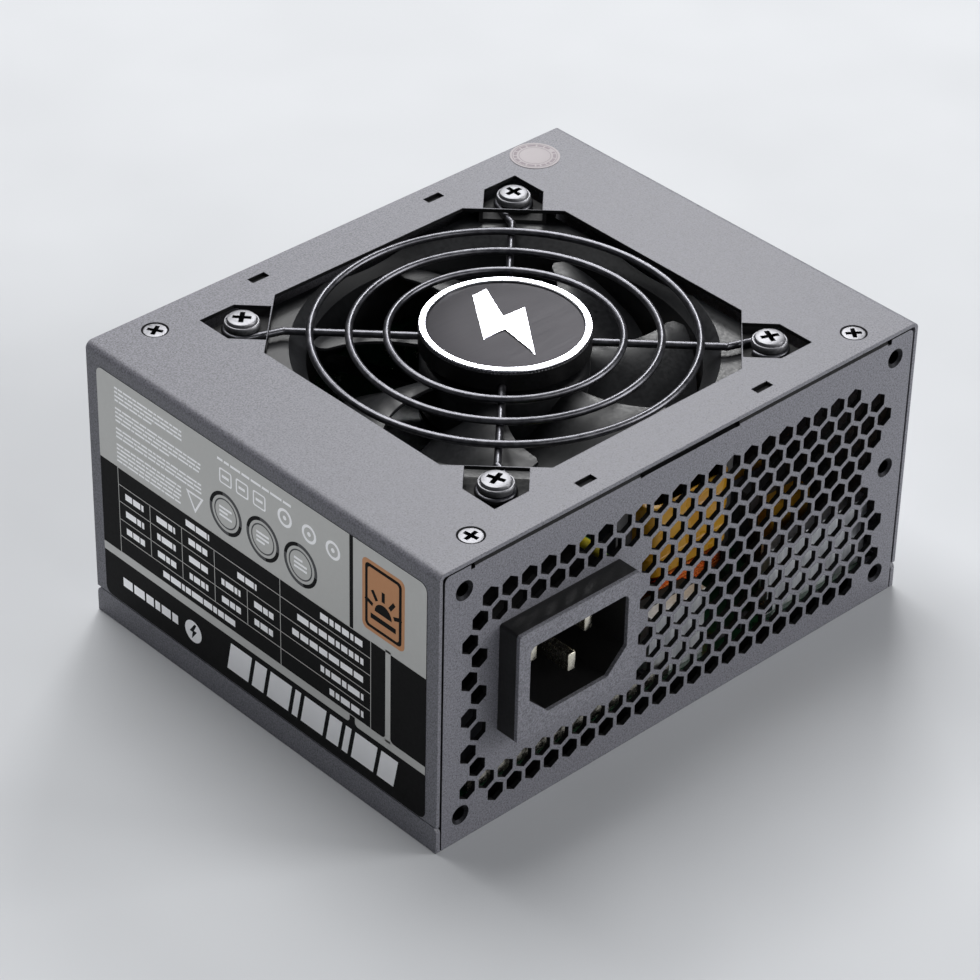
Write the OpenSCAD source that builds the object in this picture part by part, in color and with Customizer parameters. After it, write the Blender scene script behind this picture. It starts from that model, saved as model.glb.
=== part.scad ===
// Small-format computer power supply, in millimetres.
// A folded base tray, a vented rear panel with a mains inlet, an output panel with modular
// sockets and a cover that carries a fan under a wire guard; the converter stands on a board.
// The origin is the centre of the bottom face. +Z is up, the mains inlet faces -Y and the
// rating label faces -X.

/* [Casing] */
// Width of the casing along X
case_w = 125; // [120:1:160]
// Depth of the casing along Y, without the inlet's collar
case_d = 100; // [96:1:140]
// Height of the casing along Z
case_h = 63.5; // [60:0.5:90]
// Thickness of the cover's sheet
cover_t = 0.8; // [0.6:0.1:1.2]
// Outside radius of the cover's two long bends
cover_bend = 1.5; // [1.3:0.1:3]
// Thickness of the tray's and the panels' sheet
sheet_t = 1; // [0.8:0.1:1.2]
// Height of the tray's side flanges
flange_h = 5.8; // [4:0.1:9]
// Radius on the upper corners of the tray's flanges
flange_corner = 1.5; // [0.5:0.1:3]
// Radius on the top corners of the two end panels
panel_corner = 1.2; // [0.5:0.1:2]
// Inside radius of the panels' bent tabs
tab_bend = 0.3; // [0.2:0.1:1]
// Length of the panels' bent tabs
tab_len = 7; // [5:0.5:7.5]
// Length of the ears on the tabs that take the cover's screws
ear_len = 11; // [9:0.5:13]
// Width of those ears
ear_w = 9; // [7:0.5:10]
// Distance of each tab's inner end from the middle of the panel
tab_inner = 13; // [8:0.5:20]
// Distance of each tab's outer end from the side of the casing
tab_outer = 8.5; // [5:0.5:9]
// Width of the relief notch beside each tab
tab_notch = 1; // [0.6:0.1:2]
// Depth of the air slot between a panel's two tabs
tab_slot = 0.9; // [0.3:0.1:2]
// Length of the panels' lips on the tray's floor
lip_len = 8; // [5:0.5:9]
// Distance of the lips' ends from the sides of the casing
lip_side = 12.5; // [8:0.5:20]

/* [Rear vents] */
// Width of a hexagonal vent across its flats
vent_af = 3.85; // [3:0.05:4.2]
// Distance between vents along a row
vent_pitch_x = 4.77; // [4.6:0.01:6]
// Distance between rows
vent_pitch_z = 4.205; // [4:0.005:6]
// Distance of the top row below the top of the casing
vent_top_gap = 10.4; // [9:0.1:14]
// Distance of the bottom row above the bottom of the casing, at least
vent_low_gap = 6.75; // [6.5:0.05:10]
// Distance of the outer vents from the sides of the casing, at least
vent_side_gap = 7.5; // [7:0.1:12]
// Unpierced land around a mounting hole
vent_land = 5; // [4:0.1:6]
// Wider land around the top right mounting hole
vent_wide_land = 8; // [5:0.1:9]
// Unpierced border on the left of the inlet's collar
inlet_land_left = 3.6; // [2:0.1:6]
// Unpierced border on the right of the inlet's collar
inlet_land_right = 6.4; // [2:0.1:9]
// Unpierced border above the inlet's collar
inlet_land_top = 1.2; // [0.5:0.1:6]
// Unpierced border below the inlet's collar
inlet_land_low = 8; // [2:0.1:9]

/* [Mounting holes] */
// Spacing of the rear mounting holes along X
mount_pitch_x = 113; // [100:0.5:140]
// Spacing of the rear mounting holes along Z
mount_pitch_z = 51.5; // [45:0.5:75]
// Radius of a tapped mounting hole
mount_r = 1.42; // [1.2:0.01:1.8]
// Radius of a mounting hole's lead-in at the face
mount_mouth_r = 2.1; // [1.9:0.05:2.5]
// Depth of a mounting hole's lead-in
mount_mouth_depth = 0.5; // [0.2:0.1:0.7]
// Outside radius of a mounting hole's drawn collar
mount_collar_r = 2.6; // [2.3:0.1:3.2]
// Height of a mounting hole's drawn collar behind the panel
mount_collar_h = 1.5; // [0.5:0.1:2.5]

/* [Mains inlet] */
// Distance of the inlet's middle from the left side of the casing
inlet_from_left = 30.1; // [28:0.1:40]
// Gap between the fan and the inlet's body below it
inlet_fan_gap = 1.2; // [0.4:0.1:4]
// Width of the inlet's collar
inlet_w = 30.5; // [29:0.1:34]
// Height of the inlet's collar
inlet_h = 24.5; // [22:0.1:26]
// Radius on the collar's corners
inlet_corner = 0.6; // [0.3:0.1:2]
// How far the inlet's face stands out of the rear panel
inlet_out = 5.3; // [3:0.1:8]
// Thickness of the inlet's face plate
inlet_plate_t = 0.8; // [0.5:0.1:1.2]
// Width of the inlet's plug opening
plug_w = 24.8; // [24:0.1:26]
// Height of the inlet's plug opening
plug_h = 16.8; // [16:0.1:18]
// Size of the chamfers on the plug opening's lower corners
plug_chamfer = 4.8; // [4:0.1:6]
// Radius on the plug opening's upper corners
plug_corner = 1.5; // [0.5:0.1:2.5]
// Depth of the plug's hollow from the inlet's face
plug_depth = 16.8; // [15:0.1:18]
// Thickness of the floor at the end of the plug's hollow
inlet_floor_t = 3; // [2:0.1:5]
// Width of the inlet's body behind the panel
inlet_body_w = 28; // [27:0.1:29]
// Height of the inlet's body behind the panel
inlet_body_h = 21.4; // [19:0.1:22]
// Thickness of an inlet pin
pin_t = 2; // [1.8:0.1:2.2]
// Height of an inlet pin
pin_h = 4; // [3.8:0.1:4.2]
// Distance between the line and neutral pins
pin_pitch = 14; // [13:0.1:14.5]
// Height of the line and neutral pins above the opening's middle
pin_rise = 2; // [1.9:0.1:2.4]
// Depth of the line and neutral pins' ends below the inlet's face
pin_sink = 4.8; // [3:0.1:6]
// Depth of the earth pin's end below the inlet's face
earth_sink = 1.8; // [1:0.1:4]
// Length of the solder tags behind the inlet
tag_len = 5; // [4:0.5:8]

/* [Fan] */
// Side of the square fan
fan_size = 80; // [78:0.5:84]
// Thickness of the fan
fan_t = 15; // [12:0.5:18]
// Distance between the fan's screw holes
fan_pitch = 71.5; // [70:0.1:73]
// Radius of the fan frame's screw holes
fan_hole_r = 2.15; // [2.1:0.05:2.4]
// Radius of the fan frame's outer corners
fan_corner = 3.5; // [2:0.5:5]
// Radius of the fan frame's bore
fan_bore_r = 38.2; // [36:0.1:38.5]
// Radius of the mouth at the fan's top face
fan_mouth_r = 41.5; // [39:0.1:42]
// Depth of the fan's bevelled mouth
fan_mouth_depth = 3; // [1:0.1:4]
// Gap between the blade tips and the fan's bore
tip_gap = 0.9; // [0.5:0.1:1.5]
// Number of fan blades
blade_count = 7; // [5:1:9]
// Thickness of a fan blade
blade_t = 1.3; // [0.9:0.1:1.6]
// Radius of a blade's curved section
blade_camber_r = 20; // [16:1:40]
// Angle that a blade leans
blade_lean = 36; // [28:1:44]
// Outside radius of the impeller's hub
hub_r = 16.5; // [16:0.1:19]
// Number of struts that hold the fan's motor
strut_count = 4; // [3:1:5]
// Width of a strut
strut_w = 3.2; // [2:0.1:5]
// Thickness of the struts and of the motor's base
strut_t = 1.4; // [1:0.1:2]
// Radius of the motor shaft
shaft_r = 1.5; // [1:0.05:2]
// Running clearance between shaft and bearing, on the radius
shaft_clear = 0.02; // [0.01:0.01:0.1]

/* [Fan guard] */
// Diameter of the guard's wire
wire_d = 1.5; // [1.2:0.1:1.8]
// Radius of the guard's outer ring
ring_outer_r = 37.5; // [34:0.1:38]
// Radius of the guard's middle ring
ring_mid_r = 30; // [27:0.1:33]
// Radius of the guard's inner ring
ring_inner_r = 22.75; // [21:0.05:26]
// How far the rings and spokes sink into each other at a weld
weld_sink = 0.2; // [0.1:0.05:0.4]
// Radius of the wire's centre around a screw
eye_r = 3.3; // [3:0.1:3.5]
// Distance from a screw at which a spoke bends towards its eye
eye_bend = 8; // [7:0.1:10]
// Angle that the wire turns around a screw
eye_turn = 262; // [200:1:280]
// Radius of the round badge
badge_r = 16.8; // [14:0.1:20]
// Height of the badge's face above the cover
badge_rise = 1.9; // [1:0.1:3]
// Thickness of the badge's body
badge_h = 4.6; // [3.8:0.1:4.8]
// Width of the badge's bright rim
badge_rim = 1.6; // [1:0.1:3]
// Depth of the badge's rim and face pocket
badge_pocket = 0.8; // [0.4:0.1:1.2]

/* [Cover openings] */
// Width of the fan opening along X
opening_w = 79; // [77:0.5:80]
// Width of the fan opening along Y
opening_d = 78; // [77:0.5:80]
// Straight stretch of the fan opening's sides
opening_flat = 49.4; // [44:0.1:56]
// Distance of a fan seat's outer corner from the fan's axis
seat_out = 41.5; // [41:0.1:43]
// Width of a fan seat's neck
seat_neck = 12; // [10:0.1:14]
// Depth of the fan seats below the cover's top face
seat_drop = 2.5; // [1.5:0.1:4]
// Width of the lanced gap around a fan seat
seat_gap = 0.7; // [0.4:0.1:1.2]
// Length of the four small slots
slot_len = 4.2; // [3:0.1:6]
// Width of the four small slots
slot_w = 1.8; // [1:0.1:2.5]
// Distance of the small slots from the middle along X
slot_x = 23.1; // [16:0.1:28]
// Distance of the small slots from the end of the cover
slot_from_end = 4.1; // [3:0.1:5]

/* [Screws and stickers] */
// Distance of the cover screws from the side of the casing
cover_screw_side = 12.5; // [11:0.1:14]
// Distance of the cover screws from the end of the casing
cover_screw_end = 5.5; // [4.5:0.1:6.5]
// Radius of a cover screw's countersunk head
csk_r = 2.65; // [2.4:0.05:2.8]
// Radius of a small screw's shank
screw_r = 1.5; // [1.2:0.05:1.6]
// Length of a cover screw
cover_screw_len = 6; // [4:0.5:8]
// Radius of a guard screw's head
guard_head_r = 3.55; // [3.4:0.05:3.8]
// Height of a guard screw's head
guard_head_h = 2.1; // [1.6:0.1:2.8]
// Radius of a guard screw's shank
guard_screw_r = 2.1; // [1.9:0.05:2.1]
// Length of a guard screw's shank
guard_screw_len = 12; // [8:1:14]
// Clearance around a screw's shank
screw_clear = 0.05; // [0.03:0.01:0.1]
// Radius of the round seal
seal_r = 5.2; // [4:0.1:6]
// Thickness of the seal and the label
sticker_t = 0.15; // [0.1:0.05:0.3]
// Gap between the rating label and the ends of the casing
label_end_gap = 3.1; // [2:0.1:8]
// Gap between the rating label and the top of the casing
label_top_gap = 3.7; // [2:0.1:8]
// Radius on the label's corners
label_corner = 1.7; // [0.5:0.1:4]

/* [Main board] */
// Height of the board's underside above the bottom of the casing
board_z = 5.4; // [5:0.1:9]
// Thickness of the boards
board_t = 1.6; // [1.2:0.1:2]
// Gap between the board and the end panels' insides
board_end_gap = 2; // [1.9:0.1:4]
// Gap between the board and the cover's insides
board_side_gap = 2; // [1:0.1:4]
// Distance of the board's screws from the sides of the casing
post_side = 7; // [6:0.5:8]
// Distance of the front screws from the output panel's face
post_front = 21; // [19:0.5:24]
// Radius of a board post
post_r = 2.5; // [2:0.1:3]
// Thickness of the insulating sheet
film_t = 0.4; // [0.2:0.1:0.5]

/* [Converter parts] */
// Diameter of the bulk capacitor
bulk_d = 30; // [25:1:30]
// Gap between the bulk capacitor and the fan over it
bulk_fan_gap = 2.2; // [1:0.1:12]
// Width of the main transformer
trafo_w = 32; // [28:1:34]
// Depth of the main transformer's winding
trafo_d = 22; // [18:1:24]
// Gap between the main transformer and the fan over it
trafo_fan_gap = 3.2; // [1:0.1:12]
// Side of the power-factor choke
choke_w = 26; // [20:1:28]
// Height of the power-factor choke
choke_h = 28; // [18:1:34]
// Thickness of the heat sink plates
sink_t = 2.5; // [2:0.5:3]
// Height of the rear heat sinks
sink_h = 15.6; // [12:0.1:20]
// Gap between the secondary heat sink and the fan over it
sink_fan_gap = 4.2; // [1:0.1:12]
// Diameter of an output capacitor
out_cap_d = 8; // [6:0.5:9]
// Height of an output capacitor
out_cap_h = 18; // [10:1:25]
// Diameter of a mains wire
mains_wire_d = 2.4; // [1.8:0.1:2.6]
// Diameter of a fan wire
fan_wire_d = 1.3; // [1:0.1:1.5]

/* [Output sockets] */
// Distance between the contacts of a socket
contact_pitch = 4.2; // [4.2:0.1:4.4]
// Side of a square contact cell
cell_w = 3.4; // [3.2:0.1:3.6]
// Wall around a socket's cells
socket_wall = 0.8; // [0.6:0.1:1]
// Depth of a contact cell
cell_depth = 9.5; // [7:0.5:10]
// Side of a square contact
contact_w = 1.1; // [0.9:0.1:1.2]
// How far a socket stands out of the output panel
socket_out = 0.5; // [0:0.1:2]
// Length of a socket's body
socket_len = 11.9; // [11:0.1:13]
// Extra room between the top row of sockets and the fan, over the even gaps between the rows
socket_head_room = 0.2; // [0:0.1:1]
// Distance between sockets of a row
socket_pitch = 26; // [22:0.5:27]
// Clearance between a socket and the panel's opening
socket_clear = 0.25; // [0.1:0.05:0.3]

/* [Fits] */
// Gap between the cover and the panels inside it
seam = 0.3; // [0.2:0.1:0.5]
// Gap between the cover's lower edge and the tray's flange
cover_gap = 0.2; // [0.1:0.1:0.5]
// Play around the inlet's body in the rear panel
inlet_play = 0.2; // [0.1:0.05:0.4]

/* [Hidden] */
$fn = 64;
// Overrun of a cutting tool past the face it cuts
eps = 0.5;
// How far two shapes of one solid sink into each other
weld = 0.2;
half_w = case_w / 2;
half_d = case_d / 2;
flush_w = half_w - max(cover_t, sheet_t) - seam;
panel_h = case_h - cover_t - seam;
cover_low = flange_h + cover_gap;
cover_under = case_h - cover_t;
seat_top = case_h - seat_drop;
fan_top = seat_top - cover_t;
fan_low = fan_top - fan_t;
board_top = board_z + board_t;
// Rear panel
inlet_x = inlet_from_left - half_w;
inlet_z = fan_low - inlet_fan_gap - inlet_body_h / 2;
inlet_low = inlet_z - inlet_body_h / 2;
inlet_face_y = -half_d - inlet_out;
inlet_back_y = inlet_face_y + plug_depth + inlet_floor_t;
// The three pins in X and Z from the opening's middle, and how far each end lies below the face
pin_list = [[-pin_pitch / 2, pin_rise, pin_sink], [pin_pitch / 2, pin_rise, pin_sink],
    [0, -pin_rise, earth_sink]];
// End of the pins' solder tags, and the earth stud's place right of the inlet
tag_y = inlet_back_y + tag_len;
tag_t = 0.8;
earth_at = [inlet_x + inlet_w / 2 + 3.6, inlet_z - 13];
earth_lug_r = 3.2;
vent_rows = floor((case_h - vent_top_gap - vent_low_gap) / vent_pitch_z) + 1;
vent_cols = floor((case_w - 2 * vent_side_gap) / vent_pitch_x) + 1;
mount_z = case_h / 2;
mount_spots = concat([for (sx = [-1, 1], sz = [-1, 1])
    [sx * mount_pitch_x / 2, mount_z + sz * mount_pitch_z / 2]],
    [[mount_pitch_x / 2, mount_z]]);
// Cover and guard
cover_screw_spots = [for (sx = [-1, 1], sy = [-1, 1])
    [sx * (half_w - cover_screw_side), sy * (half_d - cover_screw_end)]];
csk_depth = csk_r - screw_r;
spoke_z = seat_top + wire_d / 2;
ring_z = spoke_z + wire_d - weld_sink;
guard_head_z = seat_top + wire_d;
bead_r = wire_d * 0.9;
bead_start = wire_d * 0.55;
bead_swell = 1.06;
screw_reach = fan_pitch / sqrt(2);
badge_top = case_h + badge_rise;
badge_low = badge_top - badge_h;
badge_sink = 0.3;
// Fan motor, measured up from the fan's lower face
base_top = fan_low + strut_t;
hub_low = base_top + 1.4;
hub_top = fan_top - 1.7;
hub_wall = 1.4;
frame_flange_t = 2.6;
frame_shell_t = 1.3;
frame_post_t = 1.4;
frame_flat = 34;
core_pole_w = 3;
clip_t = 0.2;
clip_groove = 0.4;
hub_lid = 1.3;
yoke_t = 0.8;
magnet_t = 1.5;
air_gap = 0.5;
yoke_r = hub_r - hub_wall;
magnet_r = yoke_r - yoke_t;
core_r = magnet_r - magnet_t - air_gap;
bearing_r = 3;
tube_r = 4.2;
pcb_low = base_top + 0.5;
pcb_t = 1;
core_low = pcb_low + pcb_t + 1;
core_h = 3.6;
yoke_low = core_low - 0.6;
yoke_top = hub_top - hub_lid;
bearing_low = base_top - 0.4;
bearing_h = core_low + core_h - bearing_low;
blade_tip_r = fan_bore_r - tip_gap;
blade_h = hub_top - hub_low - 1;
// Board layout: a corner or middle for each part, tied to the side or end of the casing it stands by
rear_y = -half_d + sheet_t + board_end_gap;
front_y = half_d;
board_w = case_w - 2 * (cover_t + board_side_gap);
board_d = case_d - 3 * sheet_t - board_end_gap;
filter_cap_at = [-half_w + 21, rear_y + 6];
filter_cap_h = inlet_low - 2.6 - board_top;
disc_cap_at = [-half_w + 9, rear_y + 24];
disc_cap_pitch = 9;
fuse_at = [-half_w + 10, rear_y + 31];
sink_y = rear_y + 1;
bridge_x = 3.5;
switch_sink_x = 43;
switch_spots = [switch_sink_x - 7.5, switch_sink_x + 4];
choke_at = [-half_w + 19, 0];
bulk_at = [-half_w + 50, 3];
bulk_h = fan_low - bulk_fan_gap - board_top;
trafo_at = [17, rear_y + 22];
trafo_h = fan_low - trafo_fan_gap - board_top;
standby_at = [46, rear_y + 18];
out_sink_x = 24;
out_sink_y = front_y - 33;
out_rectifier_pitch = 16;
sink_tall_h = fan_low - sink_fan_gap - board_top;
out_cap_start = -38;
out_cap_pitch = 12;
out_cap_y = front_y - 21;
control_at = [14, -9];
// Ring chokes lying flat: middle, outer radius, inner radius, height and lift above the board
filter_ring = [[-half_w + 42, rear_y + 12], 7, 3.6, 7, 1.2];
output_ring = [[43, -3], 8.5, 4.2, 9, 1.4];
post_spots = [[-half_w + post_side + 0.5, rear_y + 4], [half_w - post_side + 0.5, rear_y + 9],
    [-half_w + post_side, front_y - post_front], [half_w - post_side, front_y - post_front]];
// Each socket: its place in the row, its row counted from below and its number of columns
socket_h = 2 * contact_pitch + 2 * socket_wall;
socket_gap = (fan_low - board_top - 3 * socket_h - socket_head_room) / 4;
socket_row_pitch = socket_h + socket_gap;
socket_low_z = board_top + socket_gap + socket_h / 2;
socket_board_y = front_y + socket_out - socket_len - board_t;
main_sockets_at = [[-1.1, 2, 9], [0.4, 2, 5]];
power_sockets_at = [for (k = [-2:1]) [k + 0.5, 1, 4]];
drive_sockets_at = [for (k = [-2:1]) [k + 0.5, 0, 3]];
sockets_at = concat(main_sockets_at, power_sockets_at, drive_sockets_at);

function hex_r(af) = af / sqrt(3);
function row_cols(row) = vent_cols - row % 2;
function vent_at(row, k) = [(k - (row_cols(row) - 1) / 2) * vent_pitch_x,
    case_h - vent_top_gap - row * vent_pitch_z];
function land_of(spot) =
    spot[0] > 0 && spot[1] > mount_z + 1 ? vent_wide_land : vent_land;
function off_mounts(p) = min([for (s = mount_spots) norm(p - s) - land_of(s)]) > 0;
function off_inlet(p) =
    p[0] < inlet_x - inlet_w / 2 - inlet_land_left ||
    p[0] > inlet_x + inlet_w / 2 + inlet_land_right ||
    p[1] < inlet_z - inlet_h / 2 - inlet_land_low ||
    p[1] > inlet_z + inlet_h / 2 + inlet_land_top;
function socket_mid(s) = [s[0] * socket_pitch, socket_low_z + s[1] * socket_row_pitch];

// ---- shared shapes ----

// Rectangle from its middle, with round corners of radius r
module round_rect(w, h, r) {
    square([w, h - 2 * r], center = true);
    square([w - 2 * r, h], center = true);
    for (sx = [-1, 1], sy = [-1, 1])
        translate([sx * (w / 2 - r), sy * (h / 2 - r)]) circle(r = r);
}

// Rectangle standing on the X axis, with its two upper corners round
module gate(w, h, r) {
    translate([-w / 2, 0]) square([w, h - r]);
    translate([-w / 2 + r, 0]) square([w - 2 * r, h]);
    for (s = [-1, 1]) translate([s * (w / 2 - r), h - r]) circle(r = r);
}

// Block from the middle of its width, and its low side in Y and Z
module block(x, y, z, size) {
    translate([x - size[0] / 2, y, z]) cube(size);
}

// Turns a drawing in X and Z into a plate of thickness t that ends at y
module upright(y, t) {
    translate([0, y + t, 0]) rotate([90, 0, 0]) linear_extrude(t) children();
}

module ring(r_out, r_in, h) {
    difference() {
        cylinder(r = r_out, h = h);
        translate([0, 0, -eps]) cylinder(r = r_in, h = h + 2 * eps);
    }
}

// Cross recess with arms of length w, cut down from the origin
module cross_recess(w, depth) {
    arm_w = 0.38 * w;
    for (a = [0, 90]) rotate(a) translate([-w, -arm_w / 2, -depth]) cube([2 * w, arm_w, depth + eps]);
}

// Round wire along a smooth curve through points, with `side` never along its path
function unit(v) = v / norm(v);
function path_dir(p, i) = unit(p[min(i + 1, len(p) - 1)] - p[max(i - 1, 0)]);
function soft(p, i, t) = let (
    a = p[max(i - 1, 0)], b = p[i], c = p[i + 1], d = p[min(i + 2, len(p) - 1)])
    0.5 * (2 * b + t * (c - a) + t * t * (2 * a - 5 * b + 4 * c - d)
        + t * t * t * (3 * b - a - 3 * c + d));
function soft_path(p, n) = concat(
    [for (i = [0:len(p) - 2], k = [0:n - 1]) soft(p, i, k / n)], [p[len(p) - 1]]);
module wire(points, d, side, sides = 8, steps = 3) {
    p = soft_path(points, steps);
    last = len(p) - 1;
    rings = [for (i = [0:last]) let (t = path_dir(p, i), u = unit(cross(t, side)), v = cross(u, t))
        for (k = [0:sides - 1]) p[i] + d / 2 * (cos(360 * k / sides) * u + sin(360 * k / sides) * v)];
    walls = [for (i = [0:last - 1], k = [0:sides - 1]) let (n = (k + 1) % sides)
        [i * sides + k, i * sides + n, (i + 1) * sides + n, (i + 1) * sides + k]];
    start = [for (k = [sides - 1:-1:0]) k];
    end = [for (k = [0:sides - 1]) last * sides + k];
    polyhedron(points = rings, faces = concat([start], walls, [end]));
}

// ---- casing ----

module base_tray() {
    color("#46484c") {
        difference() {
            translate([-half_w, -half_d + sheet_t, 0]) cube([case_w, case_d - 2 * sheet_t, sheet_t]);
            for (p = post_spots) translate([p[0], p[1], -eps])
                cylinder(r = screw_r, h = sheet_t + 2 * eps);
        }
        for (s = [-1, 1]) translate([s * (half_w - sheet_t / 2) - sheet_t / 2, 0, 0])
            rotate([90, 0, 90]) linear_extrude(sheet_t) gate(case_d, flange_h, flange_corner);
    }
}

// Outline of an end panel in X and Z, cut down where its tabs bend in
module panel_outline() {
    tab_end = half_w - tab_outer;
    bridge_h = 2;
    difference() {
        gate(2 * flush_w, panel_h, panel_corner);
        translate([-tab_end - tab_notch, cover_under - sheet_t - tab_bend])
            square([2 * (tab_end + tab_notch), case_h]);
    }
    translate([-tab_inner + tab_notch, panel_h - bridge_h])
        square([2 * (tab_inner - tab_notch), bridge_h - tab_slot]);
}

// One tab along X from x0 to x1, bent inwards from the panel on the -Y side
module panel_tab(x0, x1) {
    mid_y = -half_d + sheet_t + tab_bend;
    mid_z = cover_under - sheet_t - tab_bend;
    out_r = sheet_t + tab_bend;
    translate([x0, mid_y, mid_z]) intersection() {
        rotate([0, 90, 0]) ring(out_r, tab_bend, x1 - x0);
        translate([-eps, -out_r - eps, 0]) cube([x1 - x0 + 2 * eps, out_r + eps, out_r + eps]);
    }
    translate([x0, mid_y, cover_under - sheet_t]) cube([x1 - x0, tab_len - sheet_t, sheet_t]);
    translate([x1 - ear_w, mid_y, cover_under - sheet_t]) cube([ear_w, ear_len - sheet_t, sheet_t]);
}

// Tabs and floor lip of the panel on the -Y side, with the cover screws' holes
module panel_folds() {
    difference() {
        for (s = [0, 1]) mirror([s, 0, 0]) panel_tab(tab_inner, half_w - tab_outer);
        for (p = cover_screw_spots) translate([p[0], p[1], 0]) cover_screw_space();
    }
    translate([-half_w + lip_side, -half_d + sheet_t, sheet_t])
        cube([case_w - 2 * lip_side, lip_len, sheet_t]);
}

// Tapped mounting hole with its lead-in
module mount_hole(p) {
    translate([p[0], -half_d, p[1]]) rotate([-90, 0, 0]) {
        translate([0, 0, -eps]) cylinder(r = mount_r, h = sheet_t + mount_collar_h + 2 * eps);
        cylinder(r1 = mount_mouth_r, r2 = mount_r, h = mount_mouth_depth);
    }
}

module rear_panel() {
    color("#737479") difference() {
        union() {
            upright(-half_d, sheet_t) difference() {
                panel_outline();
                for (row = [0:vent_rows - 1], k = [0:row_cols(row) - 1]) {
                    p = vent_at(row, k);
                    if (off_mounts(p) && off_inlet(p))
                        translate(p) rotate(30) circle(r = hex_r(vent_af), $fn = 6);
                }
                translate([inlet_x, inlet_z])
                    round_rect(inlet_body_w + 2 * inlet_play, inlet_body_h + 2 * inlet_play, 1);
            }
            panel_folds();
            for (p = mount_spots) translate([p[0], -half_d + sheet_t / 2, p[1]]) rotate([-90, 0, 0])
                cylinder(r = mount_collar_r, h = sheet_t / 2 + mount_collar_h);
        }
        for (p = mount_spots) mount_hole(p);
    }
}

module output_panel() {
    color("#737479") mirror([0, 1, 0]) {
        upright(-half_d, sheet_t) difference() {
            panel_outline();
            for (s = sockets_at)
                translate(socket_mid(s)) square([socket_w(s) + 2 * socket_clear,
                    socket_h + 2 * socket_clear], center = true);
        }
        panel_folds();
    }
}

// Outline of the fan opening: a rectangle with its corners cut off
module fan_opening() {
    a = opening_w / 2;
    b = opening_d / 2;
    f = opening_flat / 2;
    polygon([[a, f], [f, b], [-f, b], [-a, f], [-a, -f], [-f, -b], [f, -b], [a, -f]]);
}

// Points of a fan seat's outline in the +X +Y corner, inset by `gap` on its two outer sides
function seat_points(gap) = let (
    line = (opening_w + opening_flat) / 2,
    near = line / 2 - seat_neck / (2 * sqrt(2)),
    far = line - near,
    edge = seat_out - gap,
    step = edge - far)
    [[edge, edge], [near + step, edge], [near, far], [far, near], [edge, near + step]];

module four_corners() {
    for (sx = [0, 1], sy = [0, 1]) mirror([sx, 0, 0]) mirror([0, sy, 0]) children();
}

module fan_screw_holes(r) {
    four_corners() translate([fan_pitch / 2, fan_pitch / 2]) circle(r = r);
}

// Space of one cover screw, with its head flush with the cover's top
module cover_screw_space() {
    translate([0, 0, case_h - cover_screw_len - eps]) cylinder(r = screw_r + screw_clear, h = case_h);
    translate([0, 0, case_h - csk_depth])
        cylinder(r1 = screw_r + screw_clear, r2 = csk_r + screw_clear, h = csk_depth);
    translate([0, 0, case_h]) cylinder(r = csk_r + screw_clear, h = eps);
}

module top_cover() {
    color("#a5a3a8") {
        difference() {
            upright(-half_d, case_d) difference() {
                translate([0, cover_low]) gate(case_w, case_h - cover_low, cover_bend);
                translate([0, cover_low - eps])
                    gate(case_w - 2 * cover_t, case_h - cover_low - cover_t + eps, cover_bend - cover_t);
            }
            translate([0, 0, cover_under - eps]) linear_extrude(cover_t + 2 * eps) {
                fan_opening();
                four_corners() polygon(seat_points(0));
                four_corners() translate([slot_x, half_d - slot_from_end])
                    square([slot_len, slot_w], center = true);
            }
            for (p = cover_screw_spots) translate([p[0], p[1], 0]) cover_screw_space();
        }
        // the four lowered seats that carry the fan
        translate([0, 0, fan_top]) linear_extrude(cover_t) difference() {
            four_corners() polygon(seat_points(seat_gap));
            fan_screw_holes(guard_screw_r + screw_clear);
        }
        four_corners() seat_wall();
        four_corners() mirror([1, -1, 0]) seat_wall();
    }
}

// Wall that joins a seat's slanted side to the cover's sheet
module seat_wall() {
    p = seat_points(0);
    q = seat_points(seat_gap);
    w = cover_t / sqrt(2);
    translate([0, 0, fan_top]) linear_extrude(cover_under - fan_top + weld)
        polygon([p[3], q[4], q[4] + [w, -w], p[3] + [w, -w]]);
    translate([0, 0, fan_top]) linear_extrude(cover_t)
        polygon([p[3], q[4], q[4] + [-w, w], p[3] + [-w, w]]);
}

module cover_screws() {
    color("#c9c8cb") for (p = cover_screw_spots) translate([p[0], p[1], case_h]) difference() {
        union() {
            translate([0, 0, -csk_depth]) cylinder(r1 = screw_r, r2 = csk_r, h = csk_depth);
            translate([0, 0, -cover_screw_len]) cylinder(r = screw_r, h = cover_screw_len - csk_depth);
        }
        cross_recess(1.6, 0.8);
    }
}

module rating_label() {
    h = case_h - label_top_gap - cover_low - cover_gap;
    color("#3a3b3f") translate([-half_w - sticker_t, 0, cover_low + cover_gap + h / 2])
        rotate([90, 0, 90]) linear_extrude(sticker_t)
            round_rect(case_d - 2 * label_end_gap, h, label_corner);
}

module seal_sticker() {
    p = cover_screw_spots[3];
    color("#cfc4c6") translate([p[0], p[1], case_h]) cylinder(r = seal_r, h = sticker_t);
}

// ---- fan guard ----

// Torus of the guard's wire, or the part of it over `turn` degrees
module wire_ring(r, turn = 360) {
    rotate_extrude(angle = turn) translate([r, 0]) circle(d = wire_d, $fn = 32);
}

// One spoke along +X from the weld bead, bent to pass a screw and turned around it
module guard_spoke() {
    lean = asin(eye_r / eye_bend);
    reach = sqrt(eye_bend * eye_bend - eye_r * eye_r);
    knee = screw_reach - eye_bend;
    translate([bead_start, 0, 0]) rotate([0, 90, 0])
        cylinder(d = wire_d, h = knee - bead_start, $fn = 32);
    translate([knee, 0, 0]) {
        sphere(d = wire_d * bead_swell, $fn = 32);
        rotate([0, 90, lean]) cylinder(d = wire_d, h = reach, $fn = 32);
    }
    translate([screw_reach, 0, 0]) rotate(90 + lean) mirror([0, 1, 0]) wire_ring(eye_r, eye_turn);
}

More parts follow.
